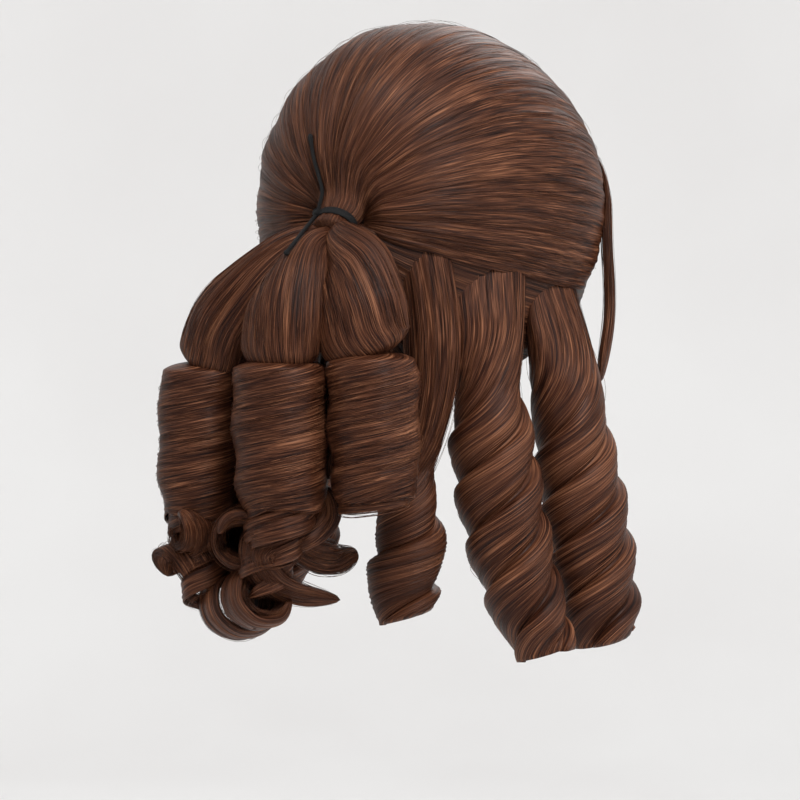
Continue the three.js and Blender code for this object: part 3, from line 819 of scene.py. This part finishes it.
# Columns: left, back, drop; the coil's axis; turns, radius in girths and first angle.
END_COILS = {
    "end_curl_ring": ((0.27, 0.26, 1.82), (-0.82, 0.5, 0.24), 1.7, 0.7, 100),
    "end_curl_left": ((0.59, 0.25, 1.63), (0.68, 0.7, -0.2), 1.4, 0.44, 80),
    "end_curl_loop": ((0.56, 0.32, 1.47), (0.15, 0.91, 0.1), 1.1, 0.42, 60),
    "end_curl_swirl": ((0.26, 0.34, 1.5), (-0.5, 0.84, 0.1), 1.3, 0.62, 60),
}
END_WAVES = {
    "end_curl_wave": (
        (-0.07, 0.17, 1.24, 0.80, 1.0),
        (-0.11, 0.18, 1.36, 1.00, 1.1),
        (-0.05, 0.28, 1.43, 1.10, 1.2),
        (0.05, 0.41, 1.47, 1.00, 1.1),
        (0.10, 0.45, 1.56, 0.90, 1.0),
        (0.07, 0.39, 1.68, 0.80, 1.0),
        (0.01, 0.25, 1.77, 0.60, 0.8),
        (-0.11, 0.01, 1.82, 0.35, 0.6),
    ),
    "end_curl_tip": (
        (0.02, 0.26, 1.52, 0.70, 1.0),
        (-0.07, 0.14, 1.59, 0.80, 1.1),
        (-0.12, 0.04, 1.61, 0.60, 0.9),
        (-0.17, -0.06, 1.58, 0.35, 0.6),
    ),
}


def coil_rows(middle, axis, turns, radius, start):
    """Rows of a ribbon wound round an axis, and the way that its flat side faces."""
    middle = from_neck(*middle)
    line = np.array(axis) / np.linalg.norm(axis)
    level = np.cross((0.0, 0.0, 1.0), line)
    level /= np.linalg.norm(level)
    upright = np.cross(line, level)
    share = np.linspace(0, 1, 13)
    angle = math.radians(start) + share * turns * 2 * math.pi
    out = radius * END_CURL_GIRTH * (1.08 - 0.22 * share)
    at = middle + np.outer((share - 0.5) * turns * END_CURL_TURN_HEIGHT, line)
    at = at + np.outer(np.cos(angle) * out, level) + np.outer(np.sin(angle) * out, upright)
    tip = np.clip(5 * (1 - share) + 0.45, 0.45, 1)
    thickness = np.full_like(share, END_CURL_THICKNESS)
    rows = np.column_stack([at, END_CURL_GIRTH * tip, thickness])

    def away(points):
        off = points - middle
        return off - np.outer(off @ line, line)

    return rows, away


def ribbon_surface(rows, away, seed):
    def place(across, along, off=0.0):
        turn = 2 * math.pi * across - math.pi / 2
        moved = across + drift(across, along, 0.012, seed)
        relief = layered(moved, seed, (0.0008, 9), (0.0004, 23)) - 0.0006
        thinned = relief + off - RIBBON_THINNING * np.abs(np.sin(turn))
        return lock_place(rows, turn, along, round_ends(along, 0.06, 0.10), thinned, away)

    return place


end_places = {}
for number, (node, row) in enumerate(END_COILS.items()):
    end_places[node] = ribbon_surface(*coil_rows(*row), 60 + 4 * number)
for number, (node, table) in enumerate(END_WAVES.items()):
    rows = table_rows(table, END_CURL_GIRTH, END_CURL_THICKNESS)
    end_places[node] = ribbon_surface(rows, from_head, 80 + 4 * number)
for node, place in end_places.items():
    curl = combed_grid(f"{node}_hair", 48, 80, place, combed_by(0.05, 0.12))
    wear(curl, hair_finish, "brown_hair", node)

# %% [markdown]
# ## Curly tufts between the barrels and the end curls
# The hair that leaves a barrel's foot springs on, turning the same way as before. Thin ribbons start
# on the foot of each barrel, turn on round its line and tighten or open towards their tips. They are
# made by the function for the end curls, from one row of a table each.

# %% Tufts
TUFT_GIRTH = 0.011
TUFT_THICKNESS = 0.0035
# Columns: barrel, first angle, turns, drop in barrel heights, last radius, lean left and back.
TUFTS = (
    ("barrel_left", 200, 1.1, 0.42, 0.009, -0.004, 0.004),
    ("barrel_left", 320, 1.4, 0.62, 0.008, -0.010, 0.000),
    ("barrel_left", 70, 1.0, 0.50, 0.010, 0.002, 0.006),
    ("barrel_left", 150, 1.7, 0.84, 0.010, -0.008, 0.004),
    ("barrel_middle", 120, 1.2, 0.50, 0.010, 0.004, 0.002),
    ("barrel_middle", 230, 1.5, 0.74, 0.009, 0.012, 0.000),
    ("barrel_middle", 330, 1.1, 0.40, 0.012, 0.000, 0.004),
    ("barrel_middle", 40, 1.8, 0.95, 0.011, 0.018, -0.004),
    ("barrel_right", 250, 0.7, 0.14, 0.015, 0.004, 0.000),
    ("barrel_right", 60, 0.6, 0.10, 0.016, 0.006, 0.000),
)


def tuft_rows(barrel, start, turns, drop, last, left, back):
    """Rows of a ribbon that turns on below a barrel, and the way that its flat side faces."""
    above, size, long, lean_left, lean_back, _ = BARRELS[barrel]
    top = from_neck(*SWAGS[above][-1][:3])
    foot = top + long * BARREL_HEIGHT * np.array([lean_left, lean_back, -0.93])
    share = np.linspace(0, 1, 11)
    angle = math.radians(start) - 2 * math.pi * turns * share
    out = (0.38 * size * BARREL_DIAMETER) * (1 - share) + last * share
    rows = []
    for part, turn, radius in zip(share, angle, out):
        at = foot + radius * np.array([math.cos(turn), math.sin(turn), 0])
        at = at + part * np.array([left, back, -drop * BARREL_HEIGHT])
        tip = min(1.0, 3 * (1 - part) + 0.3, 4 * part + 0.5)
        rows.append((*at, TUFT_GIRTH * tip, TUFT_THICKNESS * tip))
    middle = foot + np.array([left, back, 0]) / 2

    def away(points):
        return (points - middle) * np.array([1, 1, 0])

    return rows, away


tuft_places = {}
for number, row in enumerate(TUFTS):
    tuft_places[number] = ribbon_surface(*tuft_rows(*row), 300 + 4 * number)
    tuft = combed_grid(f"curl_tuft_{number + 1}", 22, 64, tuft_places[number], combed_by(0.026, 0.11))
    wear(tuft, hair_finish, "brown_hair")

# %% [markdown]
# ## Inner hair of the ponytail
# Between one barrel and the next, and behind the ring curl, inner hair hangs straight down in the
# shade. A few flat locks stand for it, so that no daylight shows through the ponytail; their finish is the
# hair's, darkened as painted shade.

# %% Inner hair
INNER_GIRTH = 0.020
# Columns: left, back and drop from the neck's end, in spreads, at its top and at its foot; girths.
INNER_LOCKS = (
    ((-0.17, 0.17, 0.52), (-0.15, 0.17, 1.20), 1.0),
    ((0.30, 0.20, 0.54), (0.30, 0.20, 1.30), 1.0),
    ((0.36, 0.12, 1.10), (0.36, 0.12, 1.98), 1.7),
)
for number, (top, foot, girths) in enumerate(INNER_LOCKS):
    rows = []
    for share, swell in ((0, 0.7), (0.4, 1.0), (0.8, 0.9), (1, 0.5)):
        at = from_neck(*((1 - share) * np.array(top) + share * np.array(foot)))
        rows.append((*at, swell * girths * INNER_GIRTH, INNER_GIRTH / 2))
    place = ribbon_surface(rows, from_head, 350 + 4 * number)
    inner = combed_grid(f"inner_lock_{number + 1}", 40, 40, place, combed_by(0.05, 0.07))
    # the darkened hair finish here is painted shade for hair hanging in the shade
    wear(inner, painted_shade_hair_finish, "brown_hair")

# %% [markdown]
# ## Hair at the nape
# Under the swept hair a thin layer lies on the lower back of the cap. Its rim is rolled under on
# every side, as the crown's is. It wears the hair's finish darkened, as painted shade under the swept hair.

# %% Nape hair
NAPE_START = math.radians(9)
NAPE_OVERHANG = 0.004
NAPE_ROLL = 0.03


def nape_place(across, along, off=0.0):
    inner_across = np.clip((across - NAPE_ROLL) / (1 - 2 * NAPE_ROLL), 0, 1)
    inner_along = np.clip((along - NAPE_ROLL) / (1 - 2 * NAPE_ROLL), 0, 1)
    side = np.clip(np.maximum(NAPE_ROLL - across, across - 1 + NAPE_ROLL) / NAPE_ROLL, 0, 1)
    end = np.clip(np.maximum(NAPE_ROLL - along, along - 1 + NAPE_ROLL) / NAPE_ROLL, 0, 1)
    roll = np.clip(np.hypot(side, end), 0, 1)
    last = cap_reach(math.pi * (1 + inner_across)) + NAPE_OVERHANG / LARGE_RADIUS
    reach = NAPE_START + (last - NAPE_START) * inner_along
    edge = swept_dip(reach) - math.radians(3)
    about = math.pi + edge + inner_across * (math.pi - 2 * edge)
    moved = inner_across + drift(inner_across, inner_along, 0.006, 90)
    relief = layered(moved, 90, (0.0009, 17), (0.0005, 60)) - 0.0008
    thinning = 1 - 0.5 * ease(inner_along, 0.8, 1)
    full = CAP_WALL + SEAT_GAP + NAPE_HAIR_DEPTH * thinning + relief
    depth = ROLL_DEPTH + (full - ROLL_DEPTH) * np.sqrt(np.maximum(1 - roll**2, 0))
    return over_head(reach, about, depth + off)


nape = combed_grid("nape_layer", 150, 50, nape_place, combed_by(0.17, 0.09))
# the darkened hair finish here is painted shade under the crown's edge
wear(nape, painted_shade_hair_finish, "brown_hair", "nape_hair")

# %% [markdown]
# ## Ringlets
# The hair that isn't tied back hangs in ringlets. From its root each runs down smooth and flat,
# then winds into three locks side by side, each lock's lower edge lying over the next one. The
# strands follow the turns, so a column of the grid is a strand: it turns about the ringlet's line
# as it goes down, slowly at first.

# %% Ringlets' tables
RINGLET_LENGTH = 0.200
RINGLET_DIAMETER = 0.0475
RINGLET_BORE = 0.027
RINGLET_BORE_DEPTH = 0.045
RINGLET_LOCKS = 3
LOCK_SPACING = 0.027
LOCK_RELIEF = 0.0078
SHORT_RINGLET = 0.188
SHORT_RINGLET_DIAMETER = 0.039
SHORT_LOCK_SPACING = 0.033
# Columns: along; wide and deep in diameters; how deep the spiral grooves are.
PLAIN_SHAPE = (
    (-0.07, 0.70, 0.04, 0.0),
    (0.00, 0.86, 0.09, 0.0),
    (0.12, 0.94, 0.38, 0.0),
    (0.28, 0.94, 0.70, 0.1),
    (0.42, 0.88, 0.84, 0.7),
    (0.58, 1.00, 0.98, 1.0),
    (0.74, 1.00, 1.00, 1.0),
    (0.90, 0.94, 0.94, 1.0),
    (1.00, 0.76, 0.76, 1.0),
)
PINCHED_SHAPE = (
    (-0.07, 0.80, 0.04, 0.0),
    (0.00, 0.92, 0.09, 0.0),
    (0.14, 0.86, 0.38, 0.0),
    (0.32, 0.68, 0.60, 0.2),
    (0.44, 0.92, 0.90, 0.9),
    (0.58, 0.95, 1.00, 1.0),
    (0.78, 0.92, 0.96, 1.0),
    (0.92, 0.82, 0.86, 1.0),
    (1.00, 0.64, 0.66, 1.0),
)
SHORT_SHAPE = (
    (-0.07, 0.70, 0.05, 0.0),
    (0.00, 0.74, 0.12, 0.0),
    (0.25, 0.74, 0.36, 0.0),
    (0.45, 0.62, 0.38, 0.0),
    (0.60, 0.50, 0.44, 0.0),
    (0.70, 0.80, 0.78, 0.8),
    (0.82, 1.00, 0.98, 1.0),
    (0.94, 0.96, 0.96, 1.0),
    (1.00, 0.80, 0.80, 1.0),
)
# Columns: side, reach of the root, shape, foot's way out and back, how late it bends, length share.
RINGLETS = {
    "ringlet_right_back": (-1, 50, PINCHED_SHAPE, 0.14, -0.06, 3.0, 1.0),
    "ringlet_right_side": (-1, 84, PLAIN_SHAPE, 0.125, -0.05, 1.2, 0.94),
    "ringlet_left_back": (1, 50, PINCHED_SHAPE, 0.04, -0.06, 3.0, 0.86),
    "ringlet_left_side": (1, 84, PLAIN_SHAPE, 0.06, -0.05, 1.2, 0.80),
    "ringlet_nape": (-1, 27, SHORT_SHAPE, -0.04, 0.02, 2.0, 1.0),
}
RINGLET_FOOT = 0.84
SHORT_RINGLET_WAVE = -0.008
ROOT_SINK = 0.0006
ROOT_SLOPE = 0.14


# %% Ringlets' surfaces
def ringlet_surface(side, reach, shape, out, back, bend, long, seed):
    short = shape is SHORT_SHAPE
    length = long * (SHORT_RINGLET if short else RINGLET_LENGTH)
    diameter = SHORT_RINGLET_DIAMETER if short else RINGLET_DIAMETER
    locks = 1 if short else RINGLET_LOCKS
    spacing = SHORT_LOCK_SPACING if short else LOCK_SPACING
    wound_from = 0.52 if short else 0.14
    columns = np.array(shape).T
    dip = float(swept_dip(math.radians(reach))) - math.radians(2)
    about = -dip if side > 0 else math.pi + dip
    root_depth = CAP_WALL + 0.0004 + shape[1][2] * diameter / 2
    root = over_head(math.radians(reach), about, root_depth)
    bore = RINGLET_BORE / RINGLET_DIAMETER * diameter / 2

    def middle_at(down):
        bent = np.clip(down, 0, None) ** bend
        moved = np.stack([side * out * bent, back * bent, -down], -1)
        return root + length * moved

    def winding(down):
        """Turns of a strand by a share of the way down, slow at first."""
        eased = np.clip(down - wound_from, 0, None)
        ramp = 0.30
        turned = np.where(eased < ramp, eased**2 / (2 * ramp), eased - ramp / 2)
        return turned * length / spacing / locks

    def place(across, along, off=0.0):
        down, inside, closing = fold_up(along, RINGLET_FOOT, RINGLET_BORE_DEPTH / length)
        down = shape[0][0] + (1 - shape[0][0]) * down
        turn = 2 * math.pi * (across - winding(down))
        wide = np.interp(down, columns[0], columns[1]) * diameter / 2
        deep = np.interp(down, columns[0], columns[2]) * diameter / 2
        grooved = np.interp(down, columns[0], columns[3])
        moved = across + drift(across, down, 0.007, seed)
        lap = locks * across - np.floor(locks * across)
        lapped = (1 - np.exp(-lap / 0.045)) * (1 - 0.8 * lap**1.8) - 0.8
        fine = layered(moved, seed, (0.0006, 11), (0.0005, 36)) - 0.0005
        relief = LOCK_RELIEF * lapped * grooved + fine
        start = np.sqrt(1 - (1 - np.clip(along / 0.03, 0, 1)) ** 2)
        wide = ((wide + relief) * (1 - inside) + bore * inside + off) * closing * start
        deep = ((deep + relief) * (1 - inside) + bore * inside + off) * closing * start
        middle = middle_at(down)
        middle[:, 2] -= 0.002 * np.sin(math.pi * inside)
        foot = ease(down, 0.9, 1)
        middle[:, 2] += foot * 0.004 * np.sin(turn + seed)
        deep_way = from_head(middle)
        wide_way = np.stack([deep_way[:, 1], -deep_way[:, 0], np.zeros(len(middle))], -1)
        beside = np.cos(turn) * wide
        flat_root = beside**2 / (HEAD_WIDTH * 1.1) * (1 - ease(down, 0.08, 0.3))
        rising = ROOT_SLOPE * np.clip(-down, 0, None) * length
        rising = rising - ROOT_SINK * (1 - ease(down, 0.0, 0.16))
        outward = np.sin(turn) * deep - flat_root + rising
        wave = SHORT_RINGLET_WAVE if short else 0.0
        sideways = beside + wave * np.sin(math.pi * np.clip(down / 0.62, 0, 1))
        at = middle + sideways[:, None] * wide_way + outward[:, None] * deep_way
        return clear_of_cap(at, UNDERSIDE)

    return place, combed_by(math.pi * diameter * 0.62, length * 1.35)


ringlet_places = {}
for number, (node, row) in enumerate(RINGLETS.items()):
    place, comb = ringlet_surface(*row, 100 + 6 * number)
    ringlet_places[node] = place
    ringlet = combed_grid(f"{node}_hair", 108, 118, place, comb)
    wear(ringlet, hair_finish, "brown_hair", node)

# %% [markdown]
# ## Strands that frame the face
# A thin lock leaves the middle of the brow on each side and bows out past the temple. It is a lock
# like the others, with a pointed tip.

# %% Face strands
FACE_STRAND_GIRTH = 0.022
# Columns: rise, reach, off the head, wide and deep in girths.
FACE_STRAND = (
    (74, 149, 0.30, 0.70, 0.22),
    (48, 141, 0.36, 0.90, 0.26),
    (20, 127, 0.42, 1.00, 0.30),
    (-4, 113, 0.50, 0.95, 0.32),
    (-26, 105, 1.00, 0.80, 0.34),
    (-42, 100, 1.50, 0.62, 0.34),
)


def face_rows(side):
    rows = []
    for rise, reach, off, wide, deep in FACE_STRAND:
        about = math.radians(rise if side > 0 else 180 - rise)
        depth = CAP_WALL + 0.0004 + off * FACE_STRAND_GIRTH
        at = over_head(math.radians(reach), about, depth)
        rows.append((*at, wide * FACE_STRAND_GIRTH, deep * FACE_STRAND_GIRTH))
    return rows


def off_head(points):
    return points - np.array([0, 0, -CROWN_RISE])


face_places = {}
for side, name in ((-1, "right"), (1, "left")):
    place = ribbon_surface(face_rows(side), off_head, 140 + side)
    face_places[name] = place
    strand = combed_grid(f"face_strand_{name}_hair", 44, 80, place, combed_by(0.045, 0.15))
    wear(strand, hair_finish, "brown_hair", f"face_strand_{name}")

# %% [markdown]
# ## The elastic
# A thin black elastic holds the ponytail. It goes round the neck of hair, is knotted on the
# wearer's left, and its two cut tails lie up the crown and down the ponytail. The tails follow
# points found on the hair's own surfaces, a little over them, and the four parts become one piece.

# %% Elastic
BAND_SHARE = 0.6
BAND_SQUASH = 0.9
BAND_WIDTH = 0.0042
BAND_THICKNESS = 0.0015
TIED_SHARE = 0.82
KNOT_DIAMETER = 0.0050
KNOT_TURN = math.radians(40)
TAIL_DIAMETER = 0.0019
# The upper tail lies on the crown at these shares of its grid, the lower one along a way from the knot.
UPPER_TAIL_ACROSS = 0.41
UPPER_TAIL_ALONG = (0.13, 0.18, 0.23, 0.285)
LOWER_TAIL_WAY = np.array([0.0165, 0.0020, -0.0205])
TAIL_OUT = np.array([-0.515, 0.857, 0.0])
KNOT_PROUD = 0.0008
BAND_RADIUS = TIED_SHARE * NECK_DIAMETER / 2 + 0.0006 + BAND_THICKNESS / 2


def on_band(turn, radius):
    turn = np.atleast_1d(turn)
    point = pulled_neck(np.full_like(turn, BAND_SHARE))
    point = point + (np.sin(turn) * radius * BAND_SQUASH)[:, None] * NECK_UP
    point[:, 0] += np.cos(turn) * radius
    return point


def band_place(across, along):
    turn = 2 * math.pi * along
    section = 2 * math.pi * across
    two_rounds = 0.0003 * np.cos(2 * section)
    radius = BAND_RADIUS + np.cos(section) * BAND_THICKNESS / 2 - two_rounds
    return on_band(turn, radius) + (np.sin(section) * BAND_WIDTH / 2)[:, None] * NECK_WAY


def knot_place(across, along):
    turn = 2 * math.pi * across
    level = math.pi * along
    twist = 1 + 0.14 * np.sin(3 * turn + 5 * along)
    radius = KNOT_DIAMETER / 2 * twist
    offset = np.stack([
        np.sin(level) * np.cos(turn) * radius,
        np.sin(level) * np.sin(turn) * radius,
        np.cos(level) * radius,
    ], -1)
    return on_band(KNOT_TURN, BAND_RADIUS + KNOT_PROUD) + offset


def tail_surface(points):
    points = np.asarray(points)
    sizes = np.full((len(points), 2), TAIL_DIAMETER)
    rows = np.hstack([points, sizes])

    def place(across, along):
        turn = 2 * math.pi * across
        bulb = 0.0005 * ease(along, 0.88, 0.96)
        return lock_place(rows, turn, along, round_ends(along, 0.04, 0.04), bulb, away_from_tail)

    return place


def away_from_tail(points):
    return np.tile(np.array([0.3, 1.0, 0.1]), (len(points), 1))


def laid_over(places, points, lift):
    """Points moved out along TAIL_OUT until they lie on the outermost of the surfaces."""
    across, along = (grid.ravel() for grid in np.meshgrid(np.linspace(0, 1, 90), np.linspace(0, 1, 60)))
    skin = np.vstack([place(across, along) for place in places])
    laid = []
    for point in points:
        off = skin - point
        out = off @ TAIL_OUT
        aside = np.linalg.norm(off - np.outer(out, TAIL_OUT), axis=1)
        laid.append(point + (out[aside < 0.002].max() + lift) * TAIL_OUT)
    return laid


knot_middle = on_band(KNOT_TURN, BAND_RADIUS + KNOT_PROUD)[0]
upper_points = crown_place(np.full(4, UPPER_TAIL_ACROSS), np.array(UPPER_TAIL_ALONG), 0.0012)
lower_points = [knot_middle + share * LOWER_TAIL_WAY for share in (0.35, 0.7, 1.0)]
lower_points = laid_over([swag_places["swag_left"], swag_places["swag_middle"]], lower_points, 0.0008)
band = combed_grid("hair_tie", 16, 120, band_place, combed_by(0.0075, 0.075))
parts = [combed_grid("tie_knot", 28, 20, knot_place, combed_by(0.017, 0.008))]
for name, points in (("tie_tail_up", upper_points), ("tie_tail_down", lower_points)):
    tail_place = tail_surface([knot_middle, *points])
    parts.append(combed_grid(name, 12, 60, tail_place, combed_by(0.006, 0.03)))
deselect_all()
for part in (*parts, band):
    part.select_set(True)
bpy.context.view_layer.objects.active = band
bpy.ops.object.join()
wear(band, elastic_finish, "black_elastic", "hair_elastic")

# %% [markdown]
# ## Single strands
# A combed surface alone looks moulded. Real hair has single strands that lie a little proud of the
# rest, cross them at a slight angle, and stick out from the outline as flyaways. They are many and
# tiny, so they are made straight from arrays: each is a three-sided tube along a line that one of
# the surfaces above gives.

# %% Tubes from arrays
STRAND_RADIUS = 0.00011


def strand_mesh(name, lines, radius, seed):
    """One mesh of three-sided tubes, one for each line of points."""
    dice = np.random.default_rng(seed)
    count, steps, _ = lines.shape
    tangent = np.gradient(lines, axis=1)
    tangent /= np.maximum(np.linalg.norm(tangent, axis=2, keepdims=True), 1e-9)
    helper = np.where(np.abs(tangent[..., 2:]) > 0.8, [1.0, 0.0, 0.0], [0.0, 0.0, 1.0])
    first = np.cross(tangent, helper)
    first /= np.maximum(np.linalg.norm(first, axis=2, keepdims=True), 1e-9)
    second = np.cross(tangent, first)
    share = np.linspace(0, 1, steps)
    thin = radius * np.clip(6 * np.minimum(share, 1 - share) + 0.25, 0.25, 1)[None, :, None]
    corners = []
    for turn in (0, 2 * math.pi / 3, 4 * math.pi / 3):
        corners.append(lines + thin * (math.cos(turn) * first + math.sin(turn) * second))
    points = np.stack(corners, 2).reshape(-1, 3)
    base = (np.arange(count)[:, None] * steps + np.arange(steps - 1)[None, :]).reshape(-1) * 3
    sides = [
        np.stack([base + a, base + b, base + b + 3, base + a + 3], 1)
        for a, b in ((0, 1), (1, 2), (2, 0))
    ]
    starts = np.arange(count) * steps * 3
    ends = starts + (steps - 1) * 3
    caps = np.vstack([
        np.stack([starts, starts + 2, starts + 1], 1),
        np.stack([ends, ends + 1, ends + 2], 1),
    ])
    mesh = bpy.data.meshes.new(name)
    mesh.from_pydata(points.tolist(), [], np.vstack(sides).tolist() + caps.tolist())
    tone = np.repeat(dice.uniform(0, 1, count), steps * 3)
    run = np.tile(np.repeat(share * 0.1, 3), count)
    corners = np.empty(len(mesh.loops), int)
    mesh.loops.foreach_get("vertex_index", corners)
    layer = mesh.uv_layers.new(name="UVMap")
    layer.data.foreach_set("uv", np.stack([tone, run], -1)[corners].ravel())
    piece = bpy.data.objects.new(name, mesh)
    bpy.context.scene.collection.objects.link(piece)
    mesh.shade_smooth()
    return piece


def laid_lines(place, count, steps, stretch, reach, lift, seed):
    """Lines on a surface: each starts inside stretch, runs for a share in reach, and rises by lift.

    Three rounds of averaging with their neighbours take the surface's small furrows out of them.
    """
    dice = np.random.default_rng(seed)
    across = dice.random((count, 1))
    run = dice.uniform(*reach, (count, 1))
    start = dice.uniform(stretch[0], np.maximum(stretch[1] - run, stretch[0] + 1e-3))
    share = np.linspace(0, 1, steps)[None, :]
    along = np.clip(start + run * share, stretch[0], stretch[1])
    wander = dice.normal(0, 0.0022, (count, 1))
    wander = wander * np.sin(2 * math.pi * share + dice.uniform(0, 6, (count, 1)))
    across = across + wander + dice.normal(0, 0.009, (count, 1)) * share
    rise = dice.uniform(*lift, (count, 1)) * (0.35 + 0.65 * np.sin(math.pi * share) ** 0.7)
    lines = place(across.ravel(), along.ravel(), rise.ravel()).reshape(count, steps, 3)
    for _ in range(3):
        lines[:, 1:-1] = (lines[:, :-2] + 2 * lines[:, 1:-1] + lines[:, 2:]) / 4
    return lines


def laid_on(places, *how, seed):
    return [laid_lines(place, *how, seed + number) for number, place in enumerate(places)]


def wear_strands(name, lines, seed, radius=STRAND_RADIUS):
    return wear(strand_mesh(name, np.vstack(lines), radius, seed), hair_finish, "brown_hair")


# %% Strands laid on each surface
def crown_strands(across, along, off):
    return crown_place(SIDE_ROLL + (1 - 2 * SIDE_ROLL) * np.clip(across, 0.004, 0.996), along, off)


crown_lines = laid_on([crown_strands], 1050, 18, (0.12, 0.975), (0.25, 0.85), (0.0001, 0.0006), seed=201)
wear_strands("crown_strands", crown_lines, 202)
crown_wisps = laid_on([crown_strands], 110, 20, (0.25, 0.985), (0.12, 0.35), (0.0005, 0.0026), seed=203)
wear_strands("crown_flyaways", crown_wisps, 204, STRAND_RADIUS * 0.8)
swag_lines = laid_on(swag_places.values(), 170, 16, (0.02, 0.97), (0.3, 0.9), (0.0001, 0.0007), seed=210)
wear_strands("swag_strands", swag_lines, 211)


def wound_lines(place, count, steps, seed):
    """Lines that go round a barrel and down it by its lead."""
    dice = np.random.default_rng(seed)
    share = np.linspace(0, 1, steps)[None, :]
    across = dice.random((count, 1)) - share * dice.uniform(0.25, 0.8, (count, 1))
    drop = dice.uniform(0.03, FOOT - 0.02, (count, 1))
    slope = dice.normal(BARREL_LEAD, 0.006, (count, 1)) / BARREL_HEIGHT * FOOT
    along = np.clip(drop - slope * (across - across[:, :1]), 0.02, FOOT + 0.01)
    rise = dice.uniform(0.0001, 0.0008, (count, 1)) * (0.3 + 0.7 * np.sin(math.pi * share))
    return place(across.ravel(), along.ravel(), rise.ravel()).reshape(count, steps, 3)


barrel_lines = [wound_lines(place, 160, 16, 220 + n) for n, place in enumerate(barrel_places.values())]
wear_strands("barrel_strands", barrel_lines, 221)
end_lines = laid_on(end_places.values(), 140, 18, (0.02, 0.995), (0.35, 0.97), (0.0001, 0.0028), seed=230)
wear_strands("end_curl_strands", end_lines, 231)
tuft_lines = laid_on(tuft_places.values(), 60, 16, (0.01, 0.99), (0.4, 0.97), (0.0001, 0.0030), seed=310)
wear_strands("tuft_strands", tuft_lines, 330)

for number, (node, place) in enumerate(ringlet_places.items()):
    lines = laid_lines(place, 150, 20, (0.02, RINGLET_FOOT), (0.25, 0.8), (0.0001, 0.0008), 240 + number)
    wisps = laid_lines(place, 14, 20, (0.1, RINGLET_FOOT + 0.01), (0.2, 0.4), (0.001, 0.003), 250 + number)
    wear_strands(f"{node}_strands", [lines, wisps], 260 + number)

face_lines = laid_on(face_places.values(), 90, 24, (0.01, 0.995), (0.4, 0.95), (0.0001, 0.0012), seed=270)
wear_strands("face_strands", face_lines, 271)

# %% [markdown]
# ## The studio
# The wig floats as it would on a head, over a wide sheet of pale paper that curves up all round at
# a distance, so that it looks the same from every side. A soft light stands high over the camera
# and a little to its right, a weaker one at its right side, and the sky fills the rest.

# %% Paper and lights
PAPER_LEVEL = -1.1
PAPER_FLAT = 4.0
PAPER_RISE = 3.4


def paper_place(across, along):
    turn = 2 * math.pi * across
    flat = np.clip(along / 0.5, 0, 1) * PAPER_FLAT
    bend = np.clip((along - 0.5) / 0.5, 0, 1) * math.pi / 2
    out = flat + 2.0 * np.sin(bend)
    up = PAPER_LEVEL + PAPER_RISE * (1 - np.cos(bend))
    return np.stack([out * np.cos(turn), out * np.sin(turn), up], -1)


paper = combed_grid("studio_paper", 64, 40, paper_place, combed_by(1.0, 1.0))
paper.data.materials.append(studio_look())
paper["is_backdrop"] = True

SIDE_WAY = Vector((-math.cos(CAMERA_TURN), -math.sin(CAMERA_TURN), 0))
UP = Vector((0, 0, 1))


def soft_light(name, side, near, up, size, power):
    """A square light placed to the camera's right by side, towards it by near, and up."""
    place = CAMERA_AIM + SIDE_WAY * side - ahead * near + UP * up
    bpy.ops.object.light_add(type="AREA", location=place)
    light = bpy.context.object
    light.name = name
    light.data.size = size
    light.data.energy = power
    light.rotation_euler = (CAMERA_AIM - place).to_track_quat("-Z", "Y").to_euler()


# Columns: name; to the camera's right, towards it and up; size and power in watts.
LIGHTS = (
    ("key_light", 0.6, 1.6, 1.9, 0.8, 66),
    ("fill_light", 2.2, 1.0, 0.6, 1.6, 18),
    ("back_light", 0.6, -2.0, 1.8, 1.4, 24),
)
for row in LIGHTS:
    soft_light(*row)

world = bpy.data.worlds.new("studio_sky")
bpy.context.scene.world = world
world.use_nodes = True
world.node_tree.nodes["Background"].inputs["Color"].default_value = (1.0, 1.0, 1.0, 1)
world.node_tree.nodes["Background"].inputs["Strength"].default_value = 0.93
bpy.context.scene.view_settings.view_transform = "Standard"

# %% [markdown]
# ## Measure and finish
# The dressed wig has to stay within the size of the imported model, so both boxes are measured and
# the largest step between them is printed.

# %% Measure the two boxes
visual_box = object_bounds()
boxes = {
    "cad": [list(corner) for corner in cad_box],
    "visual": [list(corner) for corner in visual_box],
}
bare = [max(abs(b - a) for a, b in zip(*pair)) for pair in zip(boxes["cad"], boxes["visual"])]
print("largest step between the boxes:", [round(step, 4) for step in bare])
